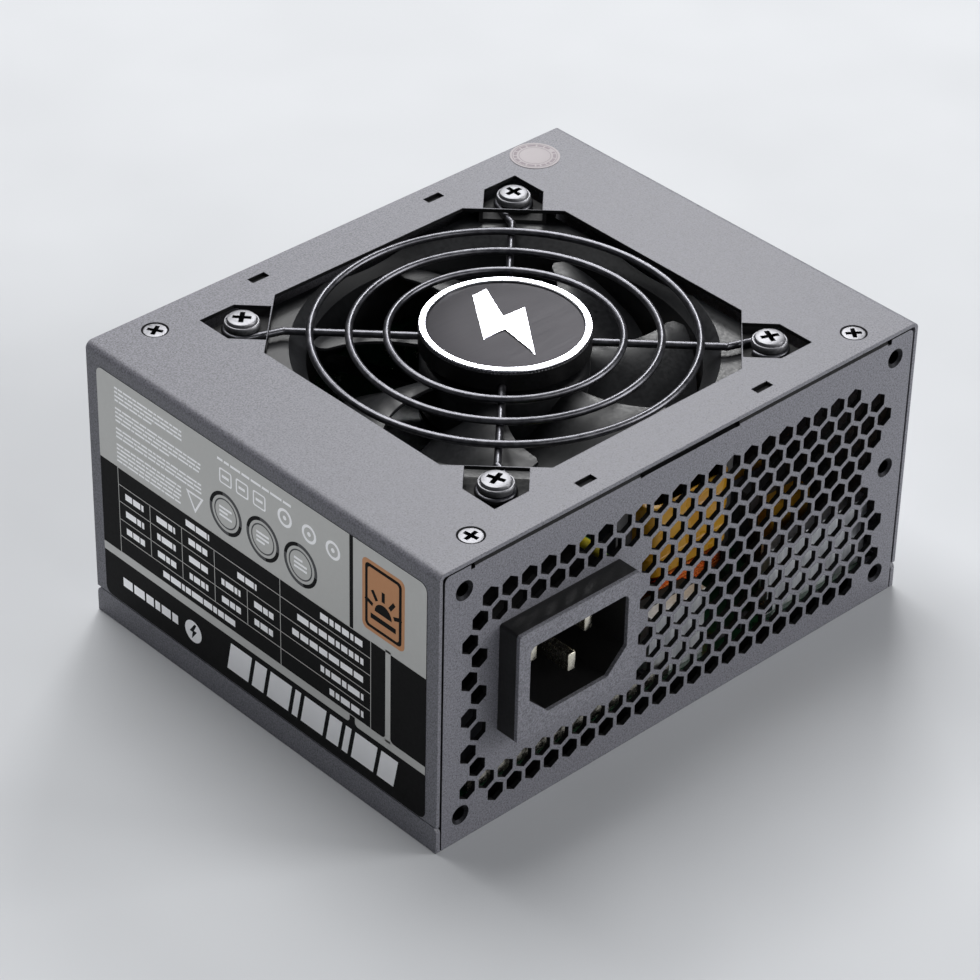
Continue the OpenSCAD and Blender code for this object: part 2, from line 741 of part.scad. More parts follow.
module fan_guard() {
    color("#1b1b1d") {
        translate([0, 0, spoke_z]) {
            sphere(r = bead_r, $fn = 32);
            for (k = [0:3]) rotate(45 + 90 * k) guard_spoke();
        }
        translate([0, 0, ring_z]) for (r = [ring_outer_r, ring_mid_r, ring_inner_r]) wire_ring(r);
    }
}

module guard_screws() {
    slope_h = 0.7;
    slope_w = 0.9;
    at = [fan_pitch / 2, fan_pitch / 2, guard_head_z];
    color("#c9c8cb") four_corners() translate(at) difference() {
        union() {
            cylinder(r = guard_head_r, h = guard_head_h - slope_h);
            translate([0, 0, guard_head_h - slope_h])
                cylinder(r1 = guard_head_r, r2 = guard_head_r - slope_w, h = slope_h);
            translate([0, 0, -guard_screw_len]) cylinder(r = guard_screw_r, h = guard_screw_len);
        }
        translate([0, 0, guard_head_h]) cross_recess(1.9, 1.2);
    }
}

module badge_body() {
    groove = wire_d + 2 * screw_clear;
    color("#141416") difference() {
        translate([0, 0, badge_low]) cylinder(r = badge_r, h = badge_h - badge_pocket);
        for (a = [45, 135]) rotate(a) {
            translate([-badge_r, 0, spoke_z]) rotate([0, 90, 0]) cylinder(d = groove, h = 2 * badge_r);
            translate([-badge_r, -groove / 2, badge_low - eps])
                cube([2 * badge_r, groove, spoke_z - badge_low + eps]);
        }
        translate([0, 0, badge_low - eps])
            cylinder(r = bead_r + screw_clear, h = spoke_z + bead_r - badge_low + eps + screw_clear);
    }
}

module badge_rim() {
    color("#d6d7dc") translate([0, 0, badge_top - badge_pocket])
        ring(badge_r, badge_r - badge_rim, badge_pocket);
}

module badge_plate() {
    color("#55555a") translate([0, 0, badge_top - badge_pocket])
        cylinder(r = badge_r - badge_rim, h = badge_pocket - badge_sink);
}

// A plain lightning bolt, the general sign for electric power
module badge_emblem() {
    color("#e8e8ec") translate([0, 0, badge_top - badge_sink]) linear_extrude(badge_sink / 2)
        scale(badge_r / 16)
        polygon([[2, 11], [-6.5, -1.2], [-1.2, -1.2], [-3, -11], [6.5, 1.8], [1, 1.8], [5.5, 11]]);
}

// ---- fan ----

module fan_frame() {
    hollow = fan_size + 2 * eps;
    color("#232427") {
        difference() {
            translate([0, 0, fan_low]) linear_extrude(fan_t) difference() {
                round_rect(fan_size, fan_size, fan_corner);
                circle(r = fan_bore_r);
                fan_screw_holes(fan_hole_r);
            }
            translate([0, 0, fan_top - fan_mouth_depth])
                cylinder(r1 = fan_bore_r, r2 = fan_mouth_r, h = fan_mouth_depth);
            translate([0, 0, fan_top]) cylinder(r = fan_mouth_r, h = eps);
            // corners hollowed between the two flanges, leaving a post round each screw
            translate([0, 0, fan_low + frame_flange_t])
                linear_extrude(fan_t - 2 * frame_flange_t) difference() {
                    square(hollow, center = true);
                    circle(r = fan_bore_r + frame_shell_t);
                    fan_screw_holes(fan_hole_r + frame_post_t);
                    square([hollow, frame_flat], center = true);
                    square([frame_flat, hollow], center = true);
                }
        }
        for (k = [0:strut_count - 1]) rotate(360 / strut_count * (k + 0.25))
            translate([hub_r - 1, -strut_w / 2, fan_low])
                cube([fan_bore_r - hub_r + 1.6, strut_w, strut_t]);
        translate([0, 0, fan_low]) ring(hub_r, bearing_r, strut_t);
        translate([0, 0, fan_low]) cylinder(r = hub_r, h = strut_t * 0.5);
        translate([0, 0, base_top - weld]) ring(tube_r, bearing_r, bearing_h);
    }
}

module fan_bearing() {
    color("#8f7a4a") translate([0, 0, bearing_low]) ring(bearing_r, shaft_r + shaft_clear, bearing_h);
}

module fan_circuit_board() {
    color("#1f5a34") translate([0, 0, pcb_low]) ring(core_r + 0.8, tube_r, pcb_t);
}

// Four-pole core: a T-shaped pole on each quarter
module stator_core() {
    color("#8c8e92") translate([0, 0, core_low]) linear_extrude(core_h) difference() {
        union() {
            circle(r = tube_r + 1.6);
            for (a = [0, 90]) rotate(a) square([2 * core_r - 1, core_pole_w], center = true);
            difference() {
                circle(r = core_r);
                circle(r = core_r - 1.2);
                for (a = [45, 135]) rotate(a) square([2 * core_r + 2, core_pole_w], center = true);
            }
        }
        circle(r = tube_r);
    }
}

module stator_coils() {
    turns_t = 0.8;
    wide = core_pole_w + 2.6;
    color("#b0693a") for (k = [0:3]) rotate(90 * k) difference() {
        translate([tube_r + 1.8, -wide / 2, core_low - turns_t])
            cube([core_r - tube_r - 3.4, wide, core_h + 2 * turns_t]);
        translate([0, -core_pole_w / 2, core_low]) cube([core_r, core_pole_w, core_h]);
    }
}

module fan_impeller() {
    color("#2b2c30") {
        translate([0, 0, hub_low]) ring(hub_r, yoke_r, hub_top - hub_low);
        translate([0, 0, hub_top - hub_lid]) ring(hub_r, shaft_r, hub_lid);
        for (k = [0:blade_count - 1]) rotate(360 / blade_count * k) fan_blade();
    }
}

// One blade: a slice of a leaning cylinder's wall, cut to the fan's bore and hub
module fan_blade() {
    mid_z = (hub_low + hub_top) / 2;
    intersection() {
        translate([0, 0, mid_z - blade_h / 2]) difference() {
            cylinder(r = blade_tip_r, h = blade_h);
            translate([0, 0, -eps]) cylinder(r = hub_r - 0.4, h = blade_h + 2 * eps);
        }
        translate([0, 0, mid_z]) rotate([blade_lean, 0, 0]) translate([0, 0, -blade_camber_r])
            rotate([0, 90, 0]) ring(blade_camber_r + blade_t / 2, blade_camber_r - blade_t / 2, fan_size);
        translate([hub_r - 1, -fan_size / 4, mid_z - fan_t / 2]) cube([fan_size, fan_size / 2, fan_t]);
    }
}

module rotor_yoke() {
    color("#9a9ca0") {
        translate([0, 0, yoke_low]) ring(yoke_r, magnet_r, yoke_top - yoke_low);
        translate([0, 0, yoke_top - yoke_t]) ring(magnet_r + weld, shaft_r, yoke_t);
    }
}

module rotor_magnet() {
    color("#3a3634") translate([0, 0, yoke_low]) ring(magnet_r, magnet_r - magnet_t, core_h + 1.4);
}

// Shaft with a thinner end for its clip just below the bearing
module rotor_shaft() {
    color("#d0d2d6") {
        translate([0, 0, bearing_low + 0.1]) cylinder(r = shaft_r, h = hub_top - bearing_low - 0.1);
        translate([0, 0, bearing_low - 0.25]) cylinder(r = shaft_r - clip_groove, h = 0.4);
    }
}

module shaft_clip() {
    color("#e4e2da") translate([0, 0, bearing_low - clip_t - 0.02])
        ring(2.4, shaft_r - clip_groove, clip_t);
}

// Two wires from the end of a strut down to the board
module fan_lead() {
    x = fan_size / 2;
    for (w = [["#17171a", 0], ["#a02020", 2]]) color(w[0]) wire([[x - 4, 15 - w[1], fan_low - 0.7],
        [x - 1, 14.5 - w[1], fan_low - 0.9], [x + 4, 13 - w[1], fan_low - 4],
        [x + 7.5, 11.5 - w[1], fan_low - 13], [x + 9, 10.5 - w[1], board_top + 10],
        [x + 9, 10.5 - w[1], board_top + 5], [x + 9, 10.5 - w[1], board_top]],
        fan_wire_d, [0, 1, 0.1]);
}

// ---- mains inlet ----

// Outline of the plug opening, from its middle
module plug_outline() {
    a = plug_w / 2;
    b = plug_h / 2;
    polygon([[a, b - plug_corner], [a, -b + plug_chamfer], [a - plug_chamfer, -b],
        [-a + plug_chamfer, -b], [-a, -b + plug_chamfer], [-a, b - plug_corner]]);
    translate([0, b - plug_corner * 2]) square([plug_w, plug_corner * 2], center = true);
    translate([0, b - plug_corner / 2]) square([plug_w - 2 * plug_corner, plug_corner], center = true);
    for (s = [-1, 1]) translate([s * (a - plug_corner), b - plug_corner]) circle(r = plug_corner);
}

// One pin with its solder tag
module pin_body(p) {
    low_z = inlet_z + p[1] - pin_h / 2;
    translate([inlet_x + p[0] - pin_t / 2, inlet_face_y + p[2], low_z])
        cube([pin_t, plug_depth - p[2] + inlet_floor_t, pin_h]);
    translate([inlet_x + p[0] - tag_t / 2, inlet_back_y - eps, low_z])
        cube([tag_t, tag_len + eps, pin_h]);
}

module inlet_housing() {
    collar_y = inlet_face_y + inlet_plate_t;
    body_y = collar_y + 1;
    color("#101012") translate([inlet_x, 0, inlet_z]) difference() {
        union() {
            upright(collar_y, inlet_out - inlet_plate_t) round_rect(inlet_w, inlet_h, inlet_corner);
            upright(body_y, inlet_back_y - body_y) round_rect(inlet_body_w, inlet_body_h, 0.8);
        }
        upright(inlet_face_y - eps, plug_depth + eps) plug_outline();
        translate([-inlet_x, 0, -inlet_z]) for (p = pin_list) pin_body(p);
    }
}

module inlet_face_plate() {
    color("#737479") translate([inlet_x, 0, inlet_z]) upright(inlet_face_y, inlet_plate_t) difference() {
        round_rect(inlet_w, inlet_h, inlet_corner);
        plug_outline();
    }
}

module inlet_pins() {
    color("#d9d6cc") for (p = pin_list) pin_body(p);
}

module line_wire() {
    x = inlet_x - pin_pitch / 2;
    z = inlet_z + pin_rise;
    color("#5a3a22") wire([[x, tag_y, z], [x, tag_y + 1.5, z], [x - 1, tag_y + 4, z - 1.5],
        [x - 4, tag_y + 6, z - 9], [x - 5, tag_y + 5, z - 17], [x - 5, tag_y + 4, board_top + 6],
        [x - 5, tag_y + 4, board_top + 3], [x - 5, tag_y + 4, board_top]],
        mains_wire_d, [1, 0, 0.2]);
}

module neutral_wire() {
    x = inlet_x + pin_pitch / 2;
    z = inlet_z + pin_rise;
    color("#2a5f9a") wire([[x, tag_y, z], [x, tag_y + 1.5, z], [x + 1, tag_y + 4, z - 1.5],
        [x + 4, tag_y + 7, z - 8], [x + 8, tag_y + 8, z - 16], [x + 9, tag_y + 8, board_top + 6],
        [x + 9, tag_y + 8, board_top + 3], [x + 9, tag_y + 8, board_top]],
        mains_wire_d, [1, 0, 0.2]);
}

module earth_wire() {
    x = inlet_x;
    y = -half_d + sheet_t;
    z = inlet_z - pin_rise;
    color("#5f8f2e") wire([[x, tag_y, z], [x, tag_y + 1.5, z], [x + 1, tag_y + 4, z + 2.5],
        [x + 5, tag_y + 4.5, z + 8], [x + 12, tag_y + 1, z + 10.5], [x + 18, tag_y - 6, z + 9.5],
        [x + 20.5, y + 6, z + 5], [x + 20.5, y + 3.2, z - 1],
        [earth_at[0] + 0.5, y + 1.8, earth_at[1] + 6],
        [earth_at[0], y + 1.4, earth_at[1] + earth_lug_r]],
        mains_wire_d, [0.6, 0.8, 0]);
}

// Welded stud with the earth wire's ring lug under its nut
module earth_stud() {
    color("#c9c8cb") translate([earth_at[0], -half_d + sheet_t, earth_at[1]]) rotate([-90, 0, 0]) {
        lug_t = 0.8;
        nut_af = 5.5;
        nut_top = 3.2;
        cylinder(r = earth_lug_r, h = lug_t);
        cylinder(r = hex_r(nut_af), h = nut_top, $fn = 6);
        cylinder(r = screw_r, h = nut_top + 1.8);
    }
}

// ---- board and its parts ----

module main_board() {
    color("#1c4a2e") difference() {
        translate([-board_w / 2, rear_y, board_z]) cube([board_w, board_d, board_t]);
        for (p = post_spots) translate([p[0], p[1], board_z - eps])
            cylinder(r = screw_r + screw_clear, h = board_t + 2 * eps);
    }
}

// Sheet that lies on the panels' lips, cut out around the posts
module insulating_film() {
    low = 2 * sheet_t;
    color("#d8d8d0") difference() {
        translate([-board_w / 2, rear_y, low]) cube([board_w, board_d, film_t]);
        for (p = post_spots) translate([p[0], p[1], low - eps])
            cylinder(r = post_r + 0.4, h = film_t + 2 * eps);
    }
}

module board_posts() {
    color("#b59a52") for (p = post_spots) translate([p[0], p[1], sheet_t]) difference() {
        cylinder(r = post_r, h = board_z - sheet_t);
        translate([0, 0, -eps]) cylinder(r = screw_r + screw_clear, h = board_z);
    }
}

module board_screws() {
    head_r = 2.7;
    head_h = 1.8;
    below = board_t + 2.5;
    color("#c9c8cb") for (p = post_spots) translate([p[0], p[1], board_top]) difference() {
        union() {
            cylinder(r = head_r, h = head_h);
            translate([0, 0, -below]) cylinder(r = screw_r, h = below + weld);
        }
        translate([0, 0, head_h]) cross_recess(1.4, 0.9);
    }
}

module filter_capacitor() {
    size = [18, 10, filter_cap_h];
    color("#d9b43c") block(filter_cap_at[0], filter_cap_at[1], board_top, size);
}

// Core of a ring choke, as the layout's list describes it
module ring_core(c) {
    translate([c[0][0], c[0][1], board_top + c[4]]) ring(c[1], c[2], c[3]);
}

// Bundles of turns over a ring choke's core: a sleeve of thickness t, parted at the given angles
module ring_turns(c, t, gaps) {
    gap_w = 3.2;
    translate([c[0][0], c[0][1], board_top + c[4] - t]) difference() {
        ring(c[1] + t, c[2] - t, c[3] + 2 * t);
        translate([0, 0, t]) ring(c[1], c[2], c[3]);
        for (a = gaps) rotate(a) translate([0, -gap_w / 2, -eps])
            cube([c[1] + 2 * t, gap_w, c[3] + 2 * t + 2 * eps]);
    }
}

module filter_choke_core() {
    color("#3d4043") ring_core(filter_ring);
}

module filter_choke_winding() {
    color("#b5652f") ring_turns(filter_ring, 1.1, [0, 180]);
}

// Two dipped discs on edge, each on two legs
module disc_capacitors() {
    disc_t = 2.6;
    lift = 5.5;
    color("#2f6fb0") for (k = [0, 1])
        translate([disc_cap_at[0] + disc_cap_pitch * k, disc_cap_at[1], board_top]) {
            translate([0, 0, lift]) rotate([-90, 0, 0]) cylinder(r = 4, h = disc_t);
            for (s = [-1, 1]) translate([2.2 * s, disc_t / 2, 0])
                cylinder(r = 0.35, h = lift - 1.5, $fn = 16);
        }
}

// Ceramic tube in two sprung clips
module fuse() {
    tube_r = 2.6;
    axis_z = 3.2;
    tube_len = 20;
    clip = [3, 4, 6.6];
    color("#e6e2d2") translate([fuse_at[0], fuse_at[1], board_top + axis_z]) rotate([0, 90, 0])
        cylinder(r = tube_r, h = tube_len);
    color("#c9c8cb") for (x = [-1, tube_len - clip[0]])
        translate([fuse_at[0] + x, fuse_at[1] - clip[1] / 2, board_top]) difference() {
            cube(clip);
            translate([-eps, clip[1] / 2, axis_z]) rotate([0, 90, 0])
                cylinder(r = tube_r, h = clip[0] + 2 * eps);
        }
}

module rectifier_heat_sink() {
    color("#d2d4d8") block(bridge_x, sink_y, board_top, [15, sink_t, sink_h]);
}

// Flat bridge with four legs, its back against the heat sink
module bridge_rectifier() {
    back_y = sink_y + sink_t;
    leg_h = 3;
    leg_pitch = 3.8;
    color("#1a1a1c") {
        block(bridge_x, back_y, board_top + leg_h, [14, 3.4, 12]);
        for (k = [-1.5:1]) block(bridge_x + leg_pitch * k, back_y + 1.4, board_top, [1, 0.8, leg_h + weld]);
    }
}

module transistor_heat_sink() {
    color("#d2d4d8") block(switch_sink_x, sink_y, board_top, [28, sink_t, sink_h]);
}

// Flat transistor body with its metal tab and three legs, its back against y
module transistor(x, y, z) {
    leg_h = 3.4;
    leg_pitch = 2.54;
    tab_t = 1.3;
    block(x, y + tab_t, z + leg_h, [10, 3.2, 9]);
    block(x, y, z + leg_h, [10, tab_t, 12]);
    for (k = [-1:1]) block(x + leg_pitch * k, y + tab_t + 0.5, z, [0.8, 0.6, leg_h + weld]);
}

module power_transistors() {
    color("#1a1a1c") for (x = switch_spots) transistor(x, sink_y + sink_t, board_top);
}

// Frame of ferrite round the choke's winding, with a round centre leg
module choke_core() {
    leg = 4;
    d = choke_w - 10;
    leg_len = choke_h - 2 * leg + eps;
    translate([choke_at[0], choke_at[1], board_top]) color("#3d4043") {
        for (z = [1, choke_h - leg]) block(0, -d / 2, z, [choke_w, d, leg]);
        for (s = [-1, 1]) block(s * (choke_w - leg) / 2, -d / 2, leg, [leg, d, leg_len]);
        translate([0, 0, leg]) cylinder(r = 4.5, h = leg_len);
    }
}

module choke_winding() {
    low = 5.4;
    window_w = choke_w - 8.8;
    color("#b5652f") translate([choke_at[0], choke_at[1], board_top + low]) intersection() {
        ring(choke_w / 2 - 0.6, 4.7, choke_h - 9.8);
        translate([-window_w / 2, -choke_w / 2, 0]) cube([window_w, choke_w, choke_h]);
    }
}

// Can with a rolled groove near its foot and a cross-shaped vent on top
module bulk_capacitor() {
    vent_len = 14;
    vent_w = 0.6;
    color("#22252c") translate([bulk_at[0], bulk_at[1], board_top]) difference() {
        cylinder(d = bulk_d, h = bulk_h);
        translate([0, 0, 3]) ring(bulk_d / 2 + 1, bulk_d / 2 - 0.6, 1.2);
        for (a = [0, 90]) rotate(a) translate([-vent_len / 2, -vent_w / 2, bulk_h - eps])
            cube([vent_len, vent_w, 2 * eps]);
    }
}

// Frame-shaped core with a round centre leg; the winding fills its window
module transformer_core() {
    leg = 4.4;
    lift = 2;
    d = trafo_d - 10;
    leg_len = trafo_h - lift - 2;
    translate([trafo_at[0], trafo_at[1], board_top]) color("#33363a") {
        for (z = [lift, trafo_h - leg]) block(0, -d / 2, z, [trafo_w, d, leg]);
        for (s = [-1, 1]) block(s * (trafo_w - leg) / 2, -d / 2, lift + 1, [leg, d, leg_len]);
        translate([0, 0, lift + 1]) cylinder(r = 4, h = leg_len);
    }
}

module transformer_winding() {
    low = 6.8;
    window_w = trafo_w - 9.4;
    color("#e0a63a") translate([trafo_at[0], trafo_at[1], board_top + low])
        linear_extrude(trafo_h - low - 4.8) difference() {
            round_rect(window_w, trafo_d, 3);
            circle(r = 4.2);
        }
}

// Small core between the two bulges of its taped winding
module standby_transformer() {
    core = [16, 6, 15];
    coil = [11, 3.5, 11];
    translate([standby_at[0], standby_at[1], board_top]) {
        color("#33363a") block(0, -core[1] / 2, 2, core);
        color("#e0a63a") for (y = [-core[1] / 2 - coil[1], core[1] / 2]) block(0, y, 4, coil);
    }
}

// Tall plate with nine short fins along its upper half
module output_heat_sink() {
    fin_pitch = 6.5;
    fin_low = 22;
    color("#d2d4d8") {
        block(out_sink_x, out_sink_y, board_top, [60, sink_t, sink_tall_h]);
        for (k = [-4:4]) block(out_sink_x + fin_pitch * k, out_sink_y + sink_t - weld,
            board_top + fin_low, [1.2, 6, sink_tall_h - fin_low]);
    }
}

module output_rectifiers() {
    color("#1a1a1c") for (k = [-1:1])
        translate([out_sink_x + out_rectifier_pitch * k, out_sink_y, 0]) rotate(180)
            transistor(0, 0, board_top);
}

module output_choke() {
    color("#c8a634") ring_core(output_ring);
    color("#b5652f") ring_turns(output_ring, 1.3, [30, 150, 270]);
}

module output_capacitors() {
    color("#2a3a6a") for (k = [0:7]) translate([out_cap_start + out_cap_pitch * k, out_cap_y, board_top])
        cylinder(d = out_cap_d, h = out_cap_h);
}

// Upright daughter board with its controller chip
module control_board() {
    chip_low = 8;
    color("#1c4a2e") translate([control_at[0], control_at[1], board_top]) cube([board_t, 20, 24]);
    color("#17181a") translate([control_at[0] + board_t, control_at[1] + 5, board_top + chip_low])
        cube([1.2, 9, 6]);
}

// ---- output sockets ----

function socket_w(s) = s[2] * contact_pitch + 2 * socket_wall;
function contact_spots(s) = [for (c = [0:s[2] - 1], r = [0, 1])
    [(c - (s[2] - 1) / 2) * contact_pitch, (r - 0.5) * contact_pitch]];

// One socket: square cells open at its face, and narrow slots for the contacts behind them
module socket(s) {
    y = front_y + socket_out - socket_len;
    translate([socket_mid(s)[0], 0, socket_mid(s)[1]]) {
        upright(y + socket_len - cell_depth, cell_depth) difference() {
            square([socket_w(s), socket_h], center = true);
            for (c = contact_spots(s)) translate(c) square(cell_w, center = true);
        }
        upright(y, socket_len - cell_depth) difference() {
            square([socket_w(s), socket_h], center = true);
            for (c = contact_spots(s)) translate(c) square(contact_w, center = true);
        }
    }
}

// The contacts of one socket, from behind the socket board to a little below the socket's face
module contacts(s) {
    start = socket_board_y - 2;
    contact_sink = 3;
    translate([socket_mid(s)[0], 0, socket_mid(s)[1]]) upright(start, front_y - contact_sink - start)
        for (c = contact_spots(s)) translate(c) square(contact_w, center = true);
}

module main_sockets() {
    color("#17181a") for (s = main_sockets_at) socket(s);
}

module power_sockets() {
    color("#17181a") for (s = power_sockets_at) socket(s);
}

module drive_sockets() {
    color("#17181a") for (s = drive_sockets_at) socket(s);
}

module socket_contacts() {
    color("#d0c9a8") for (s = sockets_at) contacts(s);
}

module socket_board() {
    top = socket_low_z + 2 * socket_row_pitch + socket_h / 2 + 1;
    color("#1c4a2e") upright(socket_board_y, board_t) difference() {
        translate([-board_w / 2, board_top]) square([board_w, top - board_top]);
        for (s = sockets_at, c = contact_spots(s))
            translate(socket_mid(s) + c) square(contact_w, center = true);
    }
}

base_tray();
rear_panel();
output_panel();
top_cover();
cover_screws();
rating_label();
seal_sticker();
fan_guard();
guard_screws();
badge_body();
badge_rim();
badge_plate();
badge_emblem();
fan_frame();
fan_bearing();
fan_circuit_board();
stator_core();
stator_coils();
fan_impeller();
rotor_yoke();
rotor_magnet();
rotor_shaft();
shaft_clip();
fan_lead();
inlet_housing();
inlet_face_plate();
inlet_pins();
line_wire();
neutral_wire();
earth_wire();
earth_stud();
main_board();
insulating_film();
board_posts();
board_screws();
filter_capacitor();
filter_choke_core();
filter_choke_winding();
disc_capacitors();
fuse();
rectifier_heat_sink();
bridge_rectifier();
choke_core();
choke_winding();
bulk_capacitor();
transistor_heat_sink();
power_transistors();
transformer_core();
transformer_winding();
standby_transformer();
output_heat_sink();
output_rectifiers();
output_choke();
output_capacitors();
control_board();
socket_board();
main_sockets();
power_sockets();
drive_sockets();
socket_contacts();
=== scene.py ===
"""Small-format computer power supply: finishes, print, fan, windings and fasteners, dressed around
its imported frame. Lengths inside functions are in millimetres until `MM` turns them into metres."""
import math
import random

import bmesh
import bpy
from mathutils import Matrix, Quaternion, Vector


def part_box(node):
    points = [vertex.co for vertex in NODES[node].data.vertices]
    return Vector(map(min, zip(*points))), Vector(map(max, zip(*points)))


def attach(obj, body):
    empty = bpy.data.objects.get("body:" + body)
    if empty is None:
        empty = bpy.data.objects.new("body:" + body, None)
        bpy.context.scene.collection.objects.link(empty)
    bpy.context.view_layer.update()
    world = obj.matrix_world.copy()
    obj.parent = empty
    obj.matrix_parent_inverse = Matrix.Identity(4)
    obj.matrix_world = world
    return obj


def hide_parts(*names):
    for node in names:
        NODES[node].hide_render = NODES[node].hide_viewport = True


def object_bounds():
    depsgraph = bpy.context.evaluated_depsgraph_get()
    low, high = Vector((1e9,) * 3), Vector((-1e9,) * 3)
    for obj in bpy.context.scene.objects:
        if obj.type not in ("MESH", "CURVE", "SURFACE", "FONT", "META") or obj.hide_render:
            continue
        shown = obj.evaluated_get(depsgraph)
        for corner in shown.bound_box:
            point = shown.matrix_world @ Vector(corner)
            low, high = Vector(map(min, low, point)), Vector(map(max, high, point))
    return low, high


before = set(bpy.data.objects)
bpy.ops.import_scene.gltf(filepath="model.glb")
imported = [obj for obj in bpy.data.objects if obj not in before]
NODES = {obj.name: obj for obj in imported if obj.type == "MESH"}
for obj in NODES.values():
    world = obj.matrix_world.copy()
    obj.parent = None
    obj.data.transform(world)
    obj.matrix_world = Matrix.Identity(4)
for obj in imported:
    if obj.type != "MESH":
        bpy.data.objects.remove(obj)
CAD_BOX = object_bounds()
MM = 0.001


# ---- small tools ----

def srgb(code):
    """Linear colour of an sRGB hex value."""
    parts = [int(code[i:i + 2], 16) / 255 for i in (1, 3, 5)]
    return [c / 12.92 if c <= 0.04045 else ((c + 0.055) / 1.055) ** 2.4 for c in parts] + [1.0]


def put(tree, kind, feeds=None, **settings):
    """Adds a shader node with its settings. Feeds are plain values or other nodes' outputs."""
    node = tree.nodes.new("ShaderNode" + kind)
    for name, value in settings.items():
        setattr(node, name, value)
    join(tree, node, feeds or {})
    return node


def join(tree, node, feeds):
    """Sets a node's inputs from plain values, or links them from other nodes' outputs."""
    for name, value in feeds.items():
        if isinstance(value, bpy.types.NodeSocket):
            tree.links.new(value, node.inputs[name])
        else:
            node.inputs[name].default_value = value


def box_mm(node):
    """Lowest and highest corner of a CAD node in millimetres."""
    low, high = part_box(node)
    return low / MM, high / MM


# ---- finishes ----

def finish(name, colour, **sockets):
    """A material, its tree and its Principled shader, with the values that are even all over."""
    material = bpy.data.materials.new(name)
    material.use_nodes = True
    tree = material.node_tree
    shader = tree.nodes["Principled BSDF"]
    shader.inputs["Base Color"].default_value = srgb(colour)
    for socket, value in sockets.items():
        shader.inputs[socket.replace("_", " ")].default_value = value
    return material, tree, shader


def grain(tree, shader, size, tones, shine, relief, stretch=None, detail=2.0, edge=0.0):
    """Grain of one size: two tones, two roughnesses and a relief in mm, over rounded edges."""
    place = put(tree, "TexCoord").outputs["Object"]
    if stretch:
        place = put(tree, "Mapping", {"Vector": place, "Scale": stretch}).outputs["Vector"]
    noise = put(tree, "TexNoise", {"Vector": place, "Scale": 1 / (size * MM), "Detail": detail,
                                   "Roughness": 0.6}).outputs["Fac"]
    spread = put(tree, "MapRange", {"Value": noise, "From Min": 0.36, "From Max": 0.64}).outputs["Result"]
    tone = put(tree, "Mix", {"Factor": spread, 6: srgb(tones[0]), 7: srgb(tones[1])}, data_type="RGBA")
    rough = put(tree, "MapRange", {"Value": spread, "To Min": shine[0], "To Max": shine[1]})
    bump = put(tree, "Bump", {"Height": noise, "Distance": relief * MM, "Strength": 1.0})
    if edge:
        join(tree, bump, {"Normal": put(tree, "Bevel", {"Radius": edge * MM}, samples=4).outputs["Normal"]})
    join(tree, shader, {"Base Color": tone.outputs[2], "Roughness": rough.outputs["Result"],
                        "Normal": bump.outputs["Normal"]})
    return place, tone


def powder_coat():
    """Polyester powder coat baked on sheet steel: a satin pebbled skin with fine darker specks,
    and paint that rounds every cut edge. The specks are drawn a little coarser than real ones,
    0.3 mm, so that they show."""
    material, tree, shader = finish("powder_coated_steel", "#7c7c82", IOR=1.5)
    place, tone = grain(tree, shader, 0.34, ("#626269", "#8d8d95"), (0.4, 0.58), 0.034, detail=3.0,
                        edge=0.22)
    specks = put(tree, "TexVoronoi", {"Vector": place, "Scale": 1 / (0.7 * MM)}).outputs["Distance"]
    dark = put(tree, "MapRange", {"Value": specks, "From Min": 0.08, "From Max": 0.26, "To Min": 0.75,
                                  "To Max": 0.0}).outputs["Result"]
    speckled = put(tree, "Mix", {"Factor": dark, 6: tone.outputs[2], 7: srgb("#3c3c40")}, data_type="RGBA")
    join(tree, shader, {"Base Color": speckled.outputs[2]})
    return material


def plated_steel():
    """Nickel-plated carbon steel screw: pale satin metal with faint tumbling marks."""
    material, tree, shader = finish("nickel_plated_steel", "#8f8f93", Metallic=1.0)
    grain(tree, shader, 0.5, ("#87878b", "#9c9ca0"), (0.42, 0.54), 0.006, edge=0.1)
    return material


def plated_wire():
    """Steel wire under dark nickel plate: deep grey with broad soft highlights along it."""
    material, tree, shader = finish("dark_nickel_plated_wire", "#5c5c61", Metallic=1.0)
    grain(tree, shader, 1.6, ("#606065", "#727277"), (0.3, 0.38), 0.001)
    return material


def moulded(name, tones, shine, size=0.5, relief=0.008, ior=1.53, edge=0.15):
    """Injection-moulded plastic with the fine spark-eroded texture of its mould."""
    material, tree, shader = finish(name, tones[0], IOR=ior)
    grain(tree, shader, size, tones, shine, relief, edge=edge)
    return material


def bare_metal(name, tones, shine, size=0.4, relief=0.004, stretch=None, edge=0.0):
    """Uncoated metal whose tone and gloss vary along its rolling, turning or drawing marks."""
    material, tree, shader = finish(name, tones[0], Metallic=1.0)
    grain(tree, shader, size, tones, shine, relief, stretch=stretch, edge=edge)
    return material


def printed(name, colour, gloss=0.32, **sockets):
    """Screen-printed ink on a polyester label: even colour with the mesh's faint mottling."""
    material, tree, shader = finish(name, colour, **sockets)
    place = put(tree, "TexCoord").outputs["Object"]
    mottle = put(tree, "TexNoise", {"Vector": place, "Scale": 1 / (0.6 * MM), "Detail": 3.0}).outputs["Fac"]
    rough = put(tree, "MapRange", {"Value": mottle, "To Min": gloss - 0.08, "To Max": gloss + 0.1})
    bump = put(tree, "Bump", {"Height": mottle, "Distance": 0.004 * MM, "Strength": 0.6})
    join(tree, shader, {"Roughness": rough.outputs["Result"], "Normal": bump.outputs["Normal"]})
    return material


